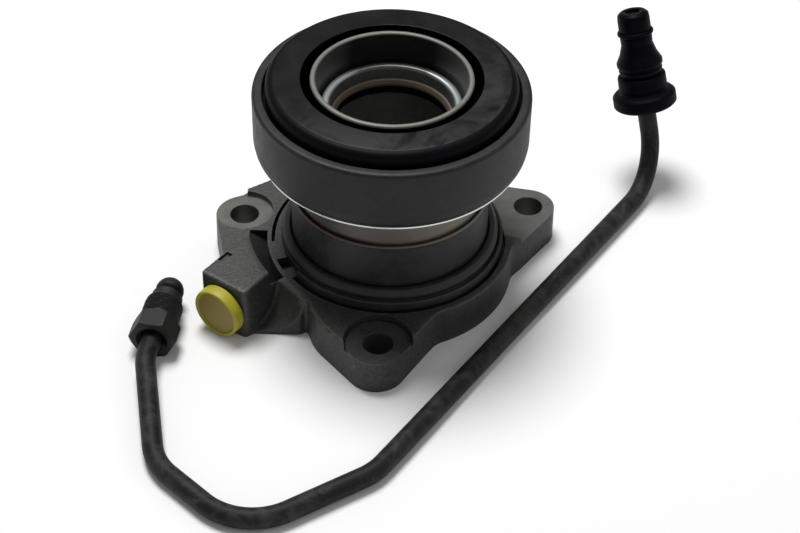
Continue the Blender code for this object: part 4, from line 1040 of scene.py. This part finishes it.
def line_route():
    """The middle of the line: straight runs joined by round bends."""
    front = NUT_BACK + FORWARD * (NUT_HEX + NUT_THREAD + NUT_NOSE + SLIP)
    route = [front, NUT_BACK - FORWARD * 6.0]
    route += [Vector((x, y, PIPE_RADIUS)) for x, y in LINE_CORNERS]
    last = route[-1]
    bend = RISE.angle(last - route[-2])
    bend_end = last + RISE * BEND_RADIUS * math.tan(bend / 2)
    route.append(bend_end + RISE * (LINE_END_STRAIGHT + CONNECTOR_SEAT + CONNECTOR_BORE_DEPTH - 0.6))
    points = [route[0]]
    for before, corner, after in zip(route, route[1:], route[2:]):
        arriving = (corner - before).normalized()
        leaving = (after - corner).normalized()
        turn = arriving.angle(leaving)
        start = corner - arriving * BEND_RADIUS * math.tan(turn / 2)
        inward = (leaving - arriving * arriving.dot(leaving)).normalized()
        count = max(3, math.ceil(math.degrees(turn) / 3.0))
        for i in range(count + 1):
            angle = turn * i / count
            points.append(start + arriving * BEND_RADIUS * math.sin(angle)
                          + inward * BEND_RADIUS * (1 - math.cos(angle)))
    points.append(route[-1])
    return points, bend_end


def sweep(places, sides):
    """Rings of points square to a path, without twist, from (point, direction, radius) places."""
    rings = []
    side = places[0][1].orthogonal().normalized()
    for point, along, radius in places:
        side = (side - along * side.dot(along)).normalized()
        across = along.cross(side)
        ring = []
        for k in range(sides):
            angle = math.tau * k / sides
            offset = side * math.cos(angle) + across * math.sin(angle)
            ring.append(AXIS + (point + offset * radius) * MM)
        rings.append(ring)
    return rings


def make_pipe():
    """The coated line with its rolled flare; the runs between bends are cut up for an even skin."""
    route, bend_end = line_route()
    points = [route[0]]
    for here in route[1:]:
        gap = here - points[-1]
        pieces = max(1, round(gap.length / 3.0))
        start = points[-1]
        points += [start + gap * (i + 1) / pieces for i in range(pieces)]
    tip = points[0]
    flare = ((4.5, 1.3), (4.5, 1.75), (4.4, 2.05), (4.1, 2.5), (3.6, 2.9), (2.8, 3.25), (2.1, 3.4),
             (1.4, 3.4), (0.95, 3.2), (0.75, 2.8), (0.5, 2.5), (0.2, 2.4))
    hole = ((1.5, 0.9), (1.5, 1.3), (4.0, 1.3))
    places = [(tip + FORWARD * along, -FORWARD, radius) for along, radius in hole + flare]
    for i, point in enumerate(points):
        before = points[max(i - 1, 0)]
        after = points[min(i + 1, len(points) - 1)]
        places.append((point, (after - before).normalized(), PIPE_RADIUS))
    shape = ring_grid(sweep(places, 32), False)
    add_piece("pressure_line", shape, [LINE_SKIN], BODY, ("pressure_pipe",), 40.0)
    return bend_end


def nut_radius(angle, radius, height):
    """The nut's radius where it isn't round: the rolled thread and the hexagon."""
    thread_end = NUT_HEX + NUT_THREAD
    if NUT_HEX + 1.0 < height < thread_end:
        turn = (height / THREAD_PITCH + angle / math.tau) % 1.0
        fade = min(1.0, (thread_end - height) / 1.2)
        return THREAD_RADIUS - THREAD_DEPTH * abs(2 * turn - 1) * fade - 0.3 * (1 - fade)
    if height <= NUT_HEX and radius > THREAD_RADIUS - 0.35:
        return min(radius, NUT_FLATS / 2 / math.cos(angle % (math.pi / 3) - math.pi / 6))
    return radius


def make_nut():
    """The tube nut: a chamfered hexagon, a rolled thread and a plain nose."""
    bore = PIPE_RADIUS + SLIP
    corner = NUT_FLATS / 2 / math.cos(math.pi / 6)
    thread_end = NUT_HEX + NUT_THREAD
    end = thread_end + NUT_NOSE
    nose = 3.75
    rows = 66
    section = [(bore, end), (nose - 0.3, end), (nose, end - 0.3), (nose, thread_end + 0.05),
               (nose + 0.25, thread_end)]
    section += [(THREAD_RADIUS, thread_end - 0.3 - (NUT_THREAD - 1.4) * i / rows) for i in range(rows + 1)]
    section += [(THREAD_RADIUS - 0.45, NUT_HEX + 0.8), (THREAD_RADIUS - 0.45, NUT_HEX)]
    chamfer = [(corner - 0.9, 0.0), (corner - 0.55, 0.15), (corner - 0.3, 0.3), (corner - 0.1, 0.5),
               (corner, 0.8)]
    section += [(radius, NUT_HEX - depth) for radius, depth in chamfer]
    section += reversed(chamfer)
    section += [(bore + 1.1, 0.0), (bore, 1.1)]
    place = stand(AXIS + NUT_BACK * MM, FORWARD)
    shape = ring_grid(turned_rings(section, 96, place, nut_radius))
    add_piece("tube_nut_threaded", shape, [PHOSPHATE], NUT, ("tube_nut",), 30.0)


def make_line_end(bend_end):
    """The rubber grommet and the ribbed plug-in connector on the line's end."""
    start = bend_end + RISE * LINE_END_STRAIGHT
    bore = PIPE_RADIUS + SLIP
    flange = 8.1
    flange_top = 4.0
    collar = 6.2
    top = 8.6
    grommet = [
        (collar - 0.2, top, 0.3), (collar - 0.05, top - 0.4, 0.4), (collar, flange_top + 1.4, 0.6),
        (collar - 0.2, flange_top + 0.9, 0.4), (collar, flange_top + 0.2, 0.4),
        (flange - 0.7, flange_top, 0.5), (flange, flange_top - 0.7, 0.7), (flange, 0.7, 0.7),
        (flange - 0.8, 0.0, 0.6), (bore, 0.0, 0.2), (bore, top, 0.2),
    ]
    turn_piece("line_grommet_moulded", grommet, BLACK_RUBBER, BODY, ("line_grommet",), 96,
               stand(AXIS + start * MM, RISE))
    seat = stand(AXIS + (start + RISE * CONNECTOR_SEAT) * MM, RISE)
    tip = 16.6
    neck = 4.1
    cone = 5.85
    ring = 11.1
    connector = [
        (ON_AXIS, tip - 1.0, 0.0), (1.8, tip - 1.0, 0.3), (1.9, tip, 0.3), (neck - 1.0, tip, 0.5),
        (neck - 0.15, tip - 0.7, 0.6), (neck, tip - 2.0, 0.5), (neck, ring + 0.8, 0.2),
        (neck - 0.5, ring + 0.7, 0.1), (neck - 0.5, ring - 0.7, 0.1), (neck, ring - 0.8, 0.2),
        (neck - 0.1, 8.0, 1.0), (cone - 1.05, 5.4, 1.2), (cone, 3.4, 0.8), (cone, 2.4, 0.5),
        (cone - 0.65, 1.9, 0.3), (cone - 0.25, 1.3, 0.4), (cone - 0.65, 0.0, 0.3), (bore, 0.0, 0.1),
        (bore, CONNECTOR_BORE_DEPTH, 0.2), (ON_AXIS, CONNECTOR_BORE_DEPTH, 0.0),
    ]
    turn_piece("line_connector_moulded", connector, BLACK_PLASTIC, BODY, ("line_connector",), 96, seat,
               open_middle=False)
    angles = [math.tau * i / 14 for i in range(14)]
    seal = [(neck - 0.05 + 0.55 * math.cos(angle), ring + 0.65 * math.sin(angle), 0.0) for angle in angles]
    turn_piece("connector_ring_seated", seal, BLACK_RUBBER, BODY, ("connector_o_ring",), 96, seat)


KEPT = {
    "guide_seal": BLACK_RUBBER, "foot_seal": BLACK_RUBBER,
    "piston_seal": BLACK_RUBBER, "bearing_shield": BLACK_RUBBER, "spring_seat": GROUND,
    "outer_race": GROUND, "ball_cage": PISTON_SKIN,
}


def dress_kept_nodes():
    for name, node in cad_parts.items():
        finish = GROUND if name.startswith(("ball_0", "ball_1")) else KEPT.get(name)
        if finish:
            for slot in node.material_slots:
                slot.material = finish


def add_light(name, place, target, size, power):
    lamp = bpy.data.lights.new(name, "AREA")
    lamp.shape = "DISK"
    lamp.size = size
    lamp.energy = power
    holder = bpy.data.objects.new(name, lamp)
    holder.location = place
    holder.rotation_euler = (Vector(target) - Vector(place)).to_track_quat("-Z", "Y").to_euler()
    bpy.context.scene.collection.objects.link(holder)


def make_stage():
    """A pale floor and soft studio light."""
    shape = bmesh.new()
    bmesh.ops.create_grid(shape, x_segments=1, y_segments=1, size=3.0)
    material, flow, place = start_material("studio_floor")
    colour = blend(flow, noise(flow, place, 6.0), tone((0.86, 0.86, 0.86)), tone((0.88, 0.88, 0.88)))
    close_material(material, colour, 0.9, 0.0)
    floor = add_piece("studio_floor", shape, [material], None)
    world = bpy.data.worlds.new("studio_air")
    world.use_nodes = True
    world.node_tree.nodes["Background"].inputs["Color"].default_value = (1.0, 1.0, 1.0, 1.0)
    world.node_tree.nodes["Background"].inputs["Strength"].default_value = 0.30
    bpy.context.scene.world = world
    bpy.context.scene.view_settings.view_transform = "Standard"
    add_light("key_lamp", (-0.14, 0.30, 0.95), (0.0, 0.0, 0.02), 0.45, 9.5)
    add_light("fill_lamp", (0.60, -0.10, 0.60), (0.0, 0.0, 0.02), 0.5, 0.5)


def make_camera():
    """The photograph's viewpoint."""
    tilt = 0.723
    roll = 0.022
    forward = Vector((0.0, math.cos(tilt), -math.sin(tilt)))
    upward = Vector((0.0, math.sin(tilt), math.cos(tilt)))
    level = Vector((1.0, 0.0, 0.0))
    right = level * math.cos(roll) + upward * math.sin(roll)
    up = upward * math.cos(roll) - level * math.sin(roll)
    place = AXIS + Vector((2.72, -348.17, 307.04)) * MM
    lens = bpy.data.cameras.new("photo_camera")
    lens.sensor_width = 36.0
    lens.lens = 83.97
    lens.clip_start = 0.01
    camera = bpy.data.objects.new("photo_camera", lens)
    camera.matrix_world = Matrix(((right.x, up.x, -forward.x, place.x), (right.y, up.y, -forward.y, place.y),
                                  (right.z, up.z, -forward.z, place.z), (0.0, 0.0, 0.0, 1.0)))
    bpy.context.scene.collection.objects.link(camera)
    bpy.context.scene.camera = camera


make_camera()
make_stage()
machine_casting(casting_blank())
make_sleeve()
make_snap_ring()
make_guide()
make_shaft_seal()
make_piston()
make_spring()
make_carrier()
make_shell()
make_contact_ring()
make_plug()
make_nut()
make_line_end(make_pipe())
dress_kept_nodes()
